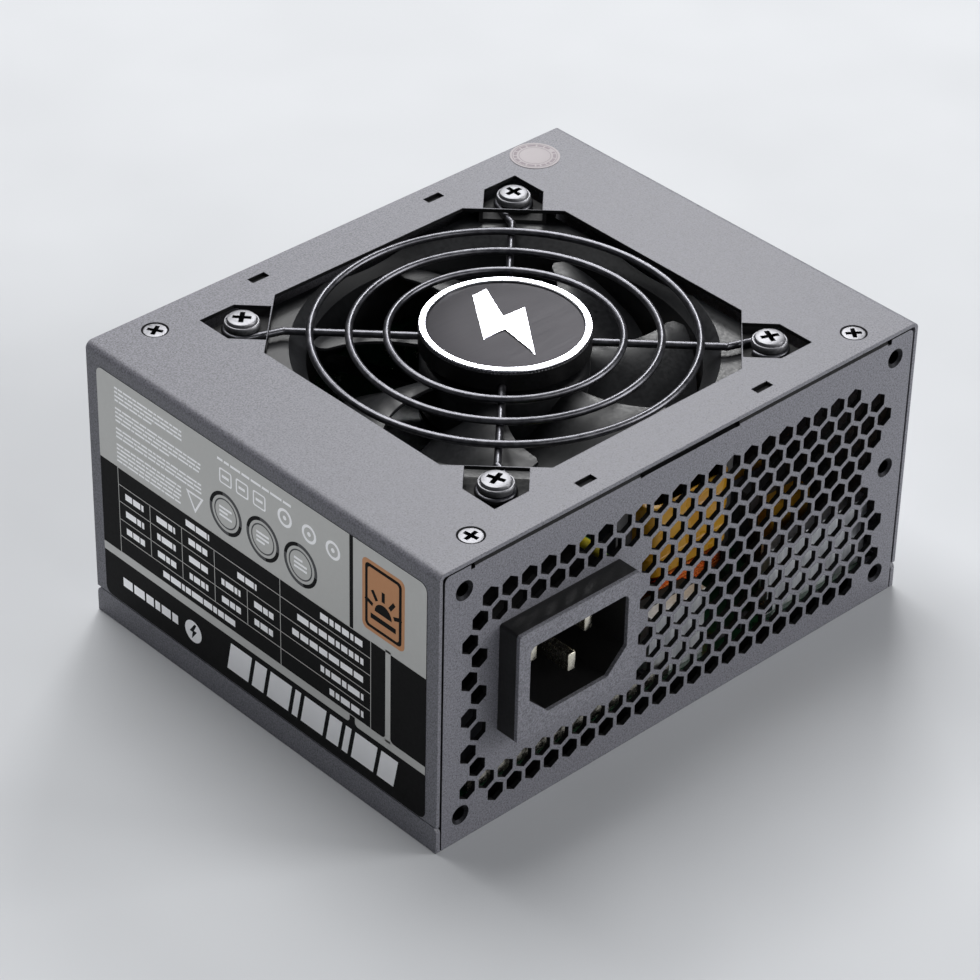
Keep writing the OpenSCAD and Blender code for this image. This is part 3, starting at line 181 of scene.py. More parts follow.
def solder_mask():
    """Green solder mask over etched copper on glass-epoxy board: tracks show as paler bands."""
    material, tree, shader = finish("green_solder_mask", "#0c2c1d", IOR=1.5, Coat_Weight=0.3,
                                    Coat_Roughness=0.2)
    place = put(tree, "TexCoord").outputs["Object"]
    cells = put(tree, "TexVoronoi", {"Vector": place, "Scale": 1 / (4.5 * MM), "Randomness": 0.7},
                distance="MANHATTAN", feature="F1").outputs["Distance"]
    tracks = put(tree, "MapRange", {"Value": cells, "From Min": 0.42, "From Max": 0.5}).outputs["Result"]
    tone = put(tree, "Mix", {"Factor": tracks, 6: srgb("#0a281a"), 7: srgb("#164429")}, data_type="RGBA")
    bump = put(tree, "Bump", {"Height": tracks, "Distance": 0.03 * MM})
    join(tree, shader, {"Base Color": tone.outputs[2], "Normal": bump.outputs["Normal"], "Roughness": 0.35})
    return material


STEEL_PAINT = powder_coat()
SCREW = plated_steel()
# Bare, oily threads, darkened further as painted shade deep in the tapped holes and in the screws' cross
# recesses
THREADS_AND_RECESS_SHADE = bare_metal("bare_threads_and_painted_shade", ("#1c1c1e", "#2c2c2f"), (0.4, 0.55), 0.3, 0.02)
# Near-black painted shade on the walls of punched holes, openings and slots, and on the folds under the
# cover
PAINTED_SHADE_COAT = moulded("painted_shade_coat", ("#101011", "#19191b"), (0.6, 0.75), size=0.4, relief=0.02,
                    ior=1.3)
# Near-black painted shade on the lowered seats that carry the fan
SEAT_SHADE_BLACK = moulded("painted_seat_shade", ("#0f0f10", "#19191b"), (0.7, 0.85), size=0.4, relief=0.03)
WIRE = plated_wire()
FAN_PLASTIC = moulded("glass_filled_polyester", ("#151618", "#1f2023"), (0.38, 0.5), size=0.7)
ABS_BLACK = moulded("moulded_black_abs", ("#0c0c0d", "#141416"), (0.3, 0.44))
INLET_NYLON = moulded("inlet_polyamide", ("#0a0a0b", "#121213"), (0.42, 0.55))
SOCKET_NYLON = moulded("socket_polyamide", ("#0f0f10", "#19191a"), (0.38, 0.5))
NATURAL_NYLON = moulded("natural_polyamide", ("#d9d4c6", "#e6e2d6"), (0.4, 0.5))
CHROME = bare_metal("diamond_cut_aluminium", ("#d6d6de", "#e6e6ec"), (0.2, 0.26), 0.6, 0.0003)
# Anodised dark grey and brushed from side to side, so the strokes are 0.1 mm wide and 12 mm long
BADGE_FACE = bare_metal("brushed_anodised_aluminium", ("#1f1e21", "#29282b"), (0.34, 0.42), 12, 0.0006,
                        stretch=(1.0, 90.0, 1.0))
TINNED = bare_metal("tinned_brass", ("#cfcabb", "#e2ded0"), (0.18, 0.3), 0.8, 0.003, edge=0.15)
HEAT_SINK = bare_metal("extruded_aluminium", ("#e6e9ec", "#f6f8fa"), (0.42, 0.56), 6, 0.01,
                       stretch=(8.0, 8.0, 1.0), edge=0.15)
GROUND_STEEL = bare_metal("ground_steel", ("#c3c5c9", "#d5d7da"), (0.12, 0.2), 0.3, 0.001)
LAMINATED = bare_metal("laminated_silicon_steel", ("#75777b", "#8f9195"), (0.4, 0.55), 0.5, 0.01,
                       stretch=(0.05, 0.05, 1.0))
BRONZE = bare_metal("sintered_bronze", ("#8a6f3c", "#a5884c"), (0.45, 0.6), 0.25, 0.01)
BRASS = bare_metal("turned_brass", ("#b8964a", "#cfae62"), (0.22, 0.34), 0.4, 0.003)
# Copper under clear red-brown enamel
COPPER = bare_metal("enamelled_copper", ("#b4582a", "#d07a3c"), (0.2, 0.32), 3, 0.002)
FERRITE = moulded("sintered_ferrite", ("#2b2d30", "#3a3c40"), (0.55, 0.7), size=0.4, relief=0.02, ior=2.2)
POWDER_CORE = moulded("yellow_epoxy_coated_core", ("#b8952c", "#ccab40"), (0.35, 0.5), size=0.6)
EPOXY = moulded("epoxy_moulding_compound", ("#141415", "#1e1e20"), (0.5, 0.65), size=0.3)
SLEEVE = moulded("shrunk_capacitor_sleeve", ("#15181f", "#1d212b"), (0.22, 0.32), size=4, relief=0.01)
SLEEVE_BLUE = moulded("blue_capacitor_sleeve", ("#1d2b57", "#263768"), (0.22, 0.32), size=4, relief=0.01)
BOX_CASE = moulded("grey_film_capacitor_case", ("#33353a", "#42444a"), (0.35, 0.5))
DIPPED_BLUE = moulded("blue_epoxy_dip", ("#1f5c9c", "#2b6cae"), (0.2, 0.3), size=2, relief=0.02)
PORCELAIN = moulded("steatite_tube", ("#ddd8c8", "#e9e5d8"), (0.3, 0.4), size=1, ior=1.6)
TAPE = moulded("yellow_polyester_tape", ("#d99a24", "#e9b23c"), (0.22, 0.34), size=5, relief=0.03, ior=1.6)
FILM = moulded("insulating_polyester_film", ("#0d0d0f", "#151518"), (0.3, 0.45), size=3)
MASK = solder_mask()
PVC_BLACK = moulded("black_pvc", ("#111112", "#19191b"), (0.32, 0.42), size=1)
PVC_RED = moulded("red_pvc", ("#9c1c1c", "#b02424"), (0.32, 0.42), size=1)
PVC_BROWN = moulded("brown_pvc", ("#4f3018", "#5f3c22"), (0.32, 0.42), size=1)
PVC_BLUE = moulded("blue_pvc", ("#1f5797", "#2b68aa"), (0.32, 0.42), size=1)
PVC_GREEN = moulded("green_pvc", ("#2c7c34", "#388c40"), (0.32, 0.42), size=1)
PVC_YELLOW = moulded("yellow_pvc", ("#d8c42c", "#e4d240"), (0.32, 0.42), size=1)
# Label: metallised polyester film under black, grey and bronze inks. What looks white is the bare film
FILM_BLACK = printed("label_ink_black", "#030304", 0.5, IOR=1.18)
INK_GREY = printed("label_ink_grey", "#c2c2bf", 0.42, Metallic=1.0)
INK_WHITE = printed("label_bare_silver_film", "#fbfbfc", 0.36, Metallic=1.0)
INK_DARK = printed("label_ink_dark", "#2e2f33")
INK_BRONZE = printed("label_ink_bronze", "#c4916a", 0.42, Metallic=1.0)
SEAL_PAPER = printed("seal_vinyl", "#aaa3a6", 0.5)
SEAL_INK = printed("seal_ink", "#857b81", 0.5)


# ---- mesh tools ----

def placed(name, bm, materials=()):
    """Turns a bmesh in millimetres into an object of the scene."""
    bmesh.ops.transform(bm, matrix=Matrix.Scale(MM, 4), verts=bm.verts)
    bmesh.ops.recalc_face_normals(bm, faces=bm.faces)
    mesh = bpy.data.meshes.new(name)
    bm.to_mesh(mesh)
    bm.free()
    for material in materials:
        mesh.materials.append(material)
    thing = bpy.data.objects.new(name, mesh)
    bpy.context.scene.collection.objects.link(thing)
    return thing


def piece(name, bm, body, materials, instead_of=(), smooth=38):
    """A finished piece that rides on a body. Smooth is the sharpest angle shaded as a curve."""
    thing = placed(name, bm, materials)
    thing.data.shade_smooth()
    thing.data.set_sharp_from_angle(angle=math.radians(smooth))
    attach(thing, body)
    if instead_of:
        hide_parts(*instead_of)
    return thing


def skin(bm, rings, closed=True, caps=True, material=0):
    """Joins rings of points into a surface; closed rings run round, caps close both ends."""
    rows = [[bm.verts.new(p) for p in ring] for ring in rings]
    count = len(rows[0])
    for a, b in zip(rows, rows[1:]):
        for k in range(count if closed else count - 1):
            n = (k + 1) % count
            bm.faces.new((a[k], a[n], b[n], b[k])).material_index = material
    if caps:
        for row in (rows[0], rows[-1]):
            bm.faces.new(row).material_index = material
    return rows


def lathe(bm, profile, segments=96, centre=(0, 0), material=0):
    """Turns a closed profile of (radius, height) about a vertical axis."""
    rings = []
    for k in range(segments + 1):
        a = math.tau * k / segments
        rings.append([(centre[0] + r * math.cos(a), centre[1] + r * math.sin(a), z) for r, z in profile])
    skin(bm, rings, closed=True, caps=False, material=material)
    bmesh.ops.remove_doubles(bm, verts=bm.verts, dist=1e-5)


def tube(bm, path, radius, sides=12, stripes=None, closed=False):
    """Round tube along a path. Stripes gives the material of each side."""
    points = [Vector(p) for p in path]
    last = len(points) - 1
    rings, side = [], None
    for i, point in enumerate(points):
        ahead = points[(i + 1) % len(points)] if closed else points[min(i + 1, last)]
        behind = points[i - 1] if closed else points[max(i - 1, 0)]
        along = (ahead - behind).normalized()
        if side is None:
            side = along.orthogonal().normalized()
        side = (side - along * side.dot(along)).normalized()
        up = along.cross(side)
        rings.append([point + radius * (math.cos(math.tau * k / sides) * side
                                        + math.sin(math.tau * k / sides) * up) for k in range(sides)])
    if closed:
        rings.append(rings[0])
    before = len(bm.faces)
    skin(bm, rings, caps=not closed)
    if stripes:
        bm.faces.ensure_lookup_table()
        for k, face in enumerate(bm.faces[before:before + last * sides]):
            face.material_index = stripes[k % sides]
    if closed:
        bmesh.ops.remove_doubles(bm, verts=bm.verts, dist=1e-5)


def block(bm, low, high, bevel=0.0, material=0):
    """Box between two corners, its edges bevelled."""
    made = bmesh.ops.create_cube(bm, size=1.0)["verts"]
    size = [h - l for l, h in zip(low, high)]
    middle = [(h + l) / 2 for l, h in zip(low, high)]
    bmesh.ops.transform(bm, matrix=Matrix.Translation(middle) @ Matrix.Diagonal(size + [1]), verts=made)
    faces = {f for v in made for f in v.link_faces}
    for face in faces:
        face.material_index = material
    if bevel:
        edges = list({e for v in made for e in v.link_edges})
        bmesh.ops.bevel(bm, geom=edges, offset=bevel, segments=2, affect="EDGES", profile=0.5)


def smooth_path(points, steps):
    """Points along a smooth curve through the given ones."""
    p = [Vector(q) for q in points]
    out = []
    for i in range(len(p) - 1):
        a, b, c, d = p[max(i - 1, 0)], p[i], p[i + 1], p[min(i + 2, len(p) - 1)]
        for k in range(steps):
            t = k / steps
            out.append(0.5 * (2 * b + t * (c - a) + t * t * (2 * a - 5 * b + 4 * c - d)
                              + t * t * t * (3 * b - a - 3 * c + d)))
    return out + [p[-1]]


def carved(thing, cutter):
    """Cuts one object's shape out of another, and removes the cutter."""
    cut = thing.modifiers.new("cut", "BOOLEAN")
    cut.object = cutter
    cut.operation = "DIFFERENCE"
    cut.solver = "EXACT"
    bpy.context.view_layer.update()
    mesh = bpy.data.meshes.new_from_object(thing.evaluated_get(bpy.context.evaluated_depsgraph_get()))
    assert len(mesh.polygons) > len(thing.data.polygons) / 2, thing.name + " lost its faces to the cut"
    thing.modifiers.remove(cut)
    thing.data = mesh
    bpy.data.objects.remove(cutter)


def arc(cx, cy, r, start, end, steps):
    """Points along an arc, angles in degrees."""
    angles = [math.radians(start + (end - start) * k / steps) for k in range(steps + 1)]
    return [(cx + r * math.cos(a), cy + r * math.sin(a)) for a in angles]


def turned(points, angle, x=0.0, y=0.0):
    """Flat points turned by an angle in radians, then moved to a centre."""
    c, s = math.cos(angle), math.sin(angle)
    return [(x + u * c - v * s, y + u * s + v * c) for u, v in points]


def round_rect(u0, v0, u1, v1, r, corners="abcd"):
    """Rectangle outline with its named corners rounded. From a, low left, they run anticlockwise."""
    out = []
    for name, cx, cy, start, sharp in (
            ("a", u0 + r, v0 + r, 180, (u0, v0)), ("b", u1 - r, v0 + r, 270, (u1, v0)),
            ("c", u1 - r, v1 - r, 0, (u1, v1)), ("d", u0 + r, v1 - r, 90, (u0, v1))):
        out += arc(cx, cy, r, start, start + 90, 6) if name in corners and r > 0 else [sharp]
    return out


def upright(u, v, height):
    """The plain placing of an outline: flat on the ground plan, thickness upwards."""
    return (u, v, height)


def prism(bm, outline, low, high, place=upright, material=0):
    """Solid of a flat outline; place turns (u, v, height) into a point."""
    rings = [[place(u, v, h) for u, v in outline] for h in (low, high)]
    skin(bm, rings, material=material)


# ---- fasteners ----

def cross_cutter(spots, top, reach, width, depth, turn):
    """Tapered cross recesses for screws' heads, as one cutting object."""
    # height from the head's top, and how much of the full reach and width is left there
    levels = ((0.3, 1.04, 1.0), (-depth * 0.45, 0.62, 0.9), (-depth, 0.3, 0.5))
    bm = bmesh.new()
    for k, (x, y) in enumerate(spots):
        base = math.radians(turn + 23 * k)
        rings = []
        for z, long, wide in levels:
            arm, half = reach * long, width * wide / 2
            plus = []
            for quarter in range(4):
                plus += turned([(arm, -half), (arm, half), (half, half)],
                               base + math.radians(90 * quarter), x, y)
            rings.append([(u, v, top + z) for u, v in plus])
        skin(bm, rings)
    return placed("cutter", bm)


def paint_recess_shade(heads, spots, top, reach):
    """Gives the cut faces inside each cross recess the dark second finish, as painted shade."""
    floor, rim = top - 1.6, top - 0.06
    for face in heads.data.polygons:
        at = face.center / MM
        near = any(math.hypot(at.x - x, at.y - y) < reach for x, y in spots)
        if near and floor < at.z < rim:
            face.material_index = 1


# Radius of each kind of screw's head, which its node's box reaches out to
HEAD_RADIUS = {"guard_screws": 3.55, "cover_screws": 2.65}


def corner_spots(node):
    """Centres of the four screws of a node, one in each corner of its box."""
    low, high = box_mm(node)
    radius = HEAD_RADIUS[node]
    xs, ys = (low.x + radius, high.x - radius), (low.y + radius, high.y - radius)
    return [(x, y) for x in xs for y in ys]


def guard_screw_heads():
    """Washer-faced pan heads: a raised disc with the recess, a groove, and a rolled flange."""
    spots = corner_spots("guard_screws")
    low, high = box_mm("guard_screws")
    top = high.z
    foot = top - 2.1
    profile = [(0, low.z), (1.6, low.z), (2.05, low.z + 0.5), (2.05, foot), (3.3, foot), (3.5, foot + 0.15),
               (3.55, foot + 0.5), (3.5, foot + 1.15), (3.36, foot + 1.38), (3.14, foot + 1.4),
               (3.06, foot + 1.2), (2.98, foot + 1.2), (2.94, top - 0.36), (2.8, top - 0.14),
               (2.5, top - 0.04), (1.5, top - 0.01), (0, top)]
    bm = bmesh.new()
    for spot in spots:
        lathe(bm, profile, 48, spot)
    heads = piece("guard_screw_heads", bm, "casing", [SCREW, THREADS_AND_RECESS_SHADE],
                  ["guard_screws"])
    carved(heads, cross_cutter(spots, top, 2.05, 1.0, 1.5, 20))
    paint_recess_shade(heads, spots, top, 1.9)


def cover_screw_heads():
    """Countersunk heads that sit a hair below the sheet, with a dark gap round each."""
    spots = corner_spots("cover_screws")
    low, high = box_mm("cover_screws")
    top = high.z - 0.06
    profile = [(0, low.z), (1.2, low.z), (1.45, low.z + 0.5), (1.45, top - 1.25), (2.3, top - 0.28),
               (2.36, top - 0.16), (2.3, top - 0.05), (2.1, top), (0, top)]
    bm = bmesh.new()
    for spot in spots:
        lathe(bm, profile, 40, spot)
    heads = piece("cover_screw_heads", bm, "casing", [SCREW, THREADS_AND_RECESS_SHADE],
                  ["cover_screws"])
    carved(heads, cross_cutter(spots, top, 1.8, 0.9, 1.2, 8))
    paint_recess_shade(heads, spots, top, 1.7)


# ---- badge ----

def badge():
    """Rim with a knurled lower edge, a brushed face and a raised bolt sign."""
    low, high = box_mm("badge_rim")
    outer = (high.x - low.x) / 2
    inner = outer - 1.6
    top, foot = high.z, low.z
    teeth = 150
    rings = []
    for k in range(teeth * 2):
        a = math.tau * k / (teeth * 2)
        edge = outer - (0.0 if k % 2 else 0.16)
        profile = [(inner, foot), (edge, foot), (edge, top - 0.32), (outer - 0.1, top - 0.2),
                   (outer - 0.24, top), (inner + 0.22, top), (inner, top - 0.16)]
        rings.append([(r * math.cos(a), r * math.sin(a), z) for r, z in profile])
    bm = bmesh.new()
    skin(bm, rings + [rings[0]], caps=False)
    bmesh.ops.remove_doubles(bm, verts=bm.verts, dist=1e-5)
    piece("badge_bright_rim", bm, "casing", [CHROME], ["badge_rim"], smooth=25)

    low, high = box_mm("badge_plate")
    radius, foot, top = (high.x - low.x) / 2, low.z, high.z
    bm = bmesh.new()
    lathe(bm, [(0, foot), (radius, foot), (radius, top - 0.1), (radius - 0.4, top - 0.06),
               (radius * 0.6, top - 0.02), (0, top)], 96)
    piece("badge_brushed_face", bm, "casing", [BADGE_FACE], ["badge_plate"])

    foot = top - 0.1
    top = box_mm("badge_emblem")[1].z + 0.1
    bolt = [(2, 11), (-6.5, -1.2), (-1.2, -1.2), (-3, -11), (6.5, 1.8), (1, 1.8), (5.5, 11)]
    bm = bmesh.new()
    prism(bm, bolt, foot, top, lambda u, v, h: (u * 1.05, v * 1.05, h))
    upper = [e for e in bm.edges if all(v.co.z > top - 0.01 for v in e.verts)]
    bmesh.ops.bevel(bm, geom=upper, offset=0.16, segments=2, affect="EDGES")
    piece("badge_bolt_sign", bm, "casing", [CHROME], ["badge_emblem"], smooth=25)


# ---- fan ----

def impeller():
    """Cup-shaped hub with swept, cambered blades whose tips are round at both corners."""
    low, high = box_mm("fan_impeller")
    tip_r = min(high.x, 37.3)
    hub_r, inner_r, shaft = 16.5, 15.1, 1.5
    hub_low, hub_top = low.z, high.z
    bm = bmesh.new()
    lathe(bm, [(inner_r, hub_low), (hub_r, hub_low), (hub_r, hub_top - 1.2), (hub_r - 0.35, hub_top - 0.4),
               (hub_r - 1.1, hub_top), (5.0, hub_top), (4.6, hub_top - 0.35), (shaft, hub_top - 0.35),
               (shaft, hub_top - 1.3), (inner_r, hub_top - 1.3)], 96)
    blades, spans, chords = 7, 14, 12
    mid_z = (hub_low + hub_top) / 2
    root_r = hub_r - 0.3
    for blade in range(blades):
        upper, under = [], []
        for i in range(spans + 1):
            s = i / spans
            r = root_r + s * (tip_r - root_r)
            trim = 1 - 0.34 * max(0.0, (s - 0.82) / 0.18) ** 2.4
            row_up, row_low = [], []
            for j in range(chords + 1):
                t = (j / chords - 0.5) * trim
                spread = math.radians(43 - 5 * s)
                sweep = math.radians(16 * s * s)
                a = math.tau * blade / blades + sweep + t * spread
                rise = math.sin(math.pi * t * 0.92) * 4.6 + 0.9 * math.cos(math.pi * t) - 0.4
                thick = (0.62 - 0.34 * abs(2 * t) ** 2) * (1.25 - 0.45 * s)
                lean = thick * 0.55
                back = a + lean / r
                row_up.append((r * math.cos(a), r * math.sin(a), mid_z + rise + thick))
                row_low.append((r * math.cos(back), r * math.sin(back), mid_z + rise - thick))
            upper.append(row_up)
            under.append(row_low)
        skin(bm, [up + low_row[::-1] for up, low_row in zip(upper, under)])
    piece("fan_rotor_blades", bm, "rotor", [FAN_PLASTIC], ["fan_impeller"], smooth=40)


# ---- label and seal ----

class Label:
    """Prints on the film: u runs from the output end, v up from the film's lower edge."""

    def __init__(self):
        low, high = box_mm("rating_label")
        self.wide, self.tall = high.y - low.y, high.z - low.z
        self.back, self.start, self.base = high.x, high.y, low.z
        # the film itself, less the height of the inks that lie on it
        self.film = high.x - low.x - 0.062
        self.layers = {}

    def place(self, u, v, h):
        return (self.back - h, self.start - u, self.base + v)

    def add(self, ink, outline, level=1):
        """One printed shape. Each level lies over the one below."""
        bm = self.layers.setdefault(ink, bmesh.new())
        prism(bm, outline, self.film - 0.01, self.film + 0.012 * level, self.place)

    def bar(self, ink, u, v, wide, tall, level=2, r=0.0):
        self.add(ink, round_rect(u, v, u + wide, v + tall, r), level)

    def ring(self, ink, u, v, r_out, r_in, level=2, start=0, end=360):
        """A band round a centre, in short pieces."""
        steps = max(8, int((end - start) / 9))
        outline = arc(u, v, r_out, start, end, steps) + arc(u, v, r_in, end, start, steps)
        if end - start < 360:
            self.add(ink, outline, level)
            return
        for half in (0, 180):
            edge = arc(u, v, r_out, half, half + 180, 20) + arc(u, v, r_in, half + 180, half, 20)
            self.add(ink, edge, level)

    def words(self, ink, u, v, wide, tall, seed, gap=0.35, level=2):
        """A run of plain dashes that stands for a line of small print."""
        rng = random.Random(seed)
        end = u + wide
        while u < end - 0.4:
            step = min(rng.uniform(0.8, 3.4), end - u)
            self.bar(ink, u, v, step, tall, level)
            u += step + gap


def rating_label():
    """Black film with a grey field, a ruled table, round signs and dashes in place of lettering."""
    label = Label()
    film = bmesh.new()
    prism(film, round_rect(0, 0, label.wide, label.tall, 1.7), 0, label.film, label.place)
    piece("label_film", film, "casing", [FILM_BLACK], ["rating_label"])
    wide, top = label.wide, label.tall
    # heights of the grey field's and stripe's lower edges, and where they part
    field, stripe, split = 32.8, 10.6, 73.6
    post = 83.6
    # the grey field above the table, parted by one black line, and the grey stripe below it
    label.add("grey", round_rect(0, field, split - 0.5, top, 1.7, "d"))
    label.add("grey", round_rect(split + 0.5, field, wide, top, 1.7, "c"))
    label.add("grey", round_rect(0, stripe, split - 0.6, stripe + 1.95, 0.9, "b"))
    label.add("grey", round_rect(split + 0.9, stripe, wide, stripe + 1.95, 0.9, "a"))
    label.add("grey", round_rect(82.9, stripe + 1.5, 84.3, field + 0.5, 0.0))
    for side, end in ((-1, 360), (1, 180)):
        corner = arc(post + side * 1.7, stripe + 2.95, 1.0, 270, end, 6)
        label.add("grey", corner + [(post + side * 0.6, stripe + 1.9)])
    # the table
    left = [5.4, 15, 24.6, 34.3, 43.9, 53.5, 78.9]
    rows = [stripe + 1.95, 16.6, 20.6, 24.8, 28.8, field]
    line = 0.16
    for v in rows:
        label.bar("line", left[0], v - line / 2, left[-1] - left[0], line)
    for k, u in enumerate(left):
        for r in range(5):
            merged = (r in (0, 4) and 0 < k < 5) or (r == 3 and k == 4)
            if not merged:
                label.bar("line", u - line / 2, rows[r], line, rows[r + 1] - rows[r])
    cells = {0: [(0, 5)], 4: [(0, 5)], 3: [(0, 1), (1, 2), (2, 3), (3, 5)]}
    for r in range(5):
        v = (rows[r] + rows[r + 1]) / 2 - 0.75
        for k, (a, b) in enumerate(cells.get(r, [(c, c + 1) for c in range(5)])):
            middle = (left[a] + left[b]) / 2
            size = (22 if r == 0 else 7) if b - a == 5 else 5.6
            label.words("white", middle - size / 2, v, size, 1.45, 40 + 7 * r + k, 0.3)
        size = (9.5, 12, 20, 18.5, 12)[r]
        label.words("white", left[-1] - 2 - size, v, size, 1.45, 90 + r, 0.4)
    # small print and signs on the grey field
    for k in range(19):
        if k in (4, 9, 13):
            continue
        length = 19.5 if k > 12 else 25.6 - (5.44 if k < 5 else 0) - (k % 5 == 3) * 9
        label.words("white", 5.4, top - 2.6 - k * 0.93, length, 0.42, 200 + k, 0.22)
    label.add("white", [(26.4, 38.9), (31.6, 38.9), (29, 34.5)], 2)
    label.add("grey", [(27.2, 38.45), (30.8, 38.45), (29, 35.4)], 3)
    v, rim, face = 39.2, 4.7, 3.9
    for k, u in enumerate((38.1, 48.8, 59.5)):
        label.ring("dark", u, v, rim, face, 2)
        label.add("ring_grey", arc(u, v, face, 0, 351, 39), 2)
        label.ring("black", u, v, rim, face, 3, 100, 170)
        label.ring("black", u, v, rim, face, 3, 280, 350)
        label.ring("dark", u, v, 3.3, 3.0, 3)
        for s in range(3):
            label.bar("white", u - 1.8, 38.1 + s * 0.95, (3.6, 2.4, 3.6)[(s + k) % 3], 0.5, 4)
    v = 47.5
    for k, u in enumerate((36.5, 41.3, 46.2)):
        label.add("white", round_rect(u, v - 1.7, u + 3.6, v + 1.7, 0.5), 2)
        label.add("grey", round_rect(u + 0.35, v - 1.35, u + 3.25, v + 1.35, 0.3), 3)
        label.words("white", u + 0.8, v - 0.3, 2.0, 0.6, 300 + k, 0.2, 4)
    for u in (55.2, 62.0, 68.6):
        label.ring("white", u, v, 2.0, 1.4, 2)
        label.add("white", arc(u, v, 0.5, 0, 324, 9), 3)
    label.words("white", 36, top - 2.9, 21, 0.55, 400)
    # bronze plaque with a plain sunrise
    label.add("bronze", round_rect(76.6, 35.2, 88, 51, 1.3), 2)
    label.add("black", round_rect(77.4, 36, 87.2, 50.2, 1.0), 3)
    label.add("bronze", round_rect(78.1, 36.7, 86.5, 49.5, 0.7), 4)
    sun = (82.3, 40.4)
    near, far, half = 3.0, 5.2, 0.42
    ray = [(near, half), (near, -half), (far, -half), (far, half)]
    for k in range(5):
        label.add("black", turned(ray, math.radians(20 + 35 * k), *sun), 5)
    label.add("black", arc(*sun, 2.3, 0, 180, 14), 5)
    label.bar("black", 78.9, 38.3, 6.8, 1.1, 5)
    # bottom band: slanted white blocks, and a bolt in a disc with a dash beside it
    u, foot, head, slant, gap = 37.4, 2.6, 9.2, 1.3, 1.05
    for w in (6.2, 3.4, 6.2, 1.6, 6.2, 3.4, 1.6, 6.2, 4.6):
        label.add("white", [(u, foot), (u + w, foot), (u + w + slant, head), (u + slant, head)], 2)
        u += w + gap
    disc = (27.2, 5.4)
    label.add("white", arc(*disc, 2.5, 0, 351, 39), 2)
    bolt = [(0.4, 1.9), (-1.1, -0.2), (-0.2, -0.2), (-0.5, -1.9), (1.1, 0.3), (0.2, 0.3), (1.0, 1.9)]
    label.add("black", turned(bolt, 0.0, *disc), 3)
    label.words("white", 5.6, 4.4, 17.6, 2.1, 500, 0.5)
    inks = {"grey": INK_GREY, "white": INK_WHITE, "line": INK_GREY, "dark": INK_DARK, "black": FILM_BLACK,
            "ring_grey": INK_GREY, "bronze": INK_BRONZE}
    for ink, bm in label.layers.items():
        piece("label_print_" + ink, bm, "casing", [inks[ink]])


def seal():
    """Round warranty seal, dimpled over the screw under it, with rings and dashes in print."""
    low, high = box_mm("seal_sticker")
    x, y = (low.x + high.x) / 2, (low.y + high.y) / 2
    radius, foot = (high.x - low.x) / 2, low.z
    top = foot + 0.11
    bm = bmesh.new()
    lathe(bm, [(0, foot), (radius, foot), (radius, top), (3.0, top + 0.01), (2.7, top - 0.03),
               (1.6, top - 0.04), (0, top - 0.03)], 72, (x, y))
    piece("seal_disc", bm, "casing", [SEAL_PAPER], ["seal_sticker"])
    ink = bmesh.new()
    for r in (4.75, 3.35):
        for half in (0, 180):
            edge = arc(x, y, r, half, half + 180, 24) + arc(x, y, r - 0.14, half + 180, half, 24)
            prism(ink, edge, top - 0.005, top + 0.02)
    rng = random.Random(11)
    angle = 0.0
    while angle < 340:
        step = rng.uniform(8, 26)
        prism(ink, arc(x, y, 4.4, angle, angle + step, 4) + arc(x, y, 3.75, angle + step, angle, 4),
              top - 0.005, top + 0.02)
        angle += step + 5
    piece("seal_print", ink, "casing", [SEAL_INK])


# ---- mains inlet ----

def inlet_blades():
    """The three plug blades, with rounded tips and edges, and their solder tags."""
    low, high = box_mm("inlet_pins")
    bm = bmesh.new()
    thick, tall = 2.0, 4.0
    tag = high.y - 5.5
    for x in (low.x + thick / 2, high.x - thick / 2):
        block(bm, (x - 1, low.y + 3.0, high.z - tall), (x + 1, tag + 0.4, high.z), 0.35)
        block(bm, (x - 0.4, tag, high.z - tall), (x + 0.4, high.y, high.z), 0.15)
    x = (low.x + high.x) / 2
    block(bm, (x - 1, low.y, low.z), (x + 1, tag + 0.4, low.z + tall), 0.35)
    block(bm, (x - 0.4, tag, low.z), (x + 0.4, high.y, low.z + tall), 0.15)
    piece("inlet_blades", bm, "casing", [TINNED], ["inlet_pins"])


def earth_lead():
    """Green and yellow striped lead from the inlet's earth tag to the stud."""
    pins, stud = box_mm("inlet_pins"), box_mm("earth_stud")
    x, z = (pins[0].x + pins[1].x) / 2, pins[0].z + 2
    tag, wall = pins[1].y, stud[0].y
    ex, ez = (stud[0].x + stud[1].x) / 2, (stud[0].z + stud[1].z) / 2
    route = [(x, tag, z), (x, tag + 1.5, z), (x + 1, tag + 4, z + 2.5), (x + 5, tag + 4.5, z + 8),
             (x + 12, tag + 1, z + 10.5), (x + 18, tag - 6, z + 9.5), (x + 20.5, wall + 6, z + 5),
             (x + 20.5, wall + 3.2, z - 1), (ex + 0.5, wall + 1.8, ez + 6), (ex, wall + 1.4, ez + 3.2)]
    bm = bmesh.new()
    tube(bm, smooth_path(route, 8), 1.2, 16, [0] * 10 + [1] * 6)
    piece("earth_lead", bm, "casing", [PVC_GREEN, PVC_YELLOW], ["earth_wire"])


# ---- windings and converter parts ----

def ring_winding(bm, x, y, z, r_out, r_in, half_h, wire, arcs):
    """Turns of wire round a ring core: arcs are (start, end) in degrees."""
    pitch = math.degrees(wire * 1.06 / (r_in + 0.2))
    for start, end in arcs:
        count = int((end - start) / pitch)
        path = []
        for k in range(count * 16 + 1):
            turn = k / 16
            a = math.radians(start + pitch * turn)
            w = math.tau * turn
            mid, half_r = (r_out + r_in) / 2, (r_out - r_in) / 2
            # a rounded square section, so the wire hugs the core
            c, s = math.cos(w), math.sin(w)
            squash = max(abs(c), abs(s)) ** -0.75
            r = mid + (half_r + wire / 2) * c * squash
            path.append((x + r * math.cos(a), y + r * math.sin(a), z + (half_h + wire / 2) * s * squash))
        tube(bm, path, wire / 2, 8)


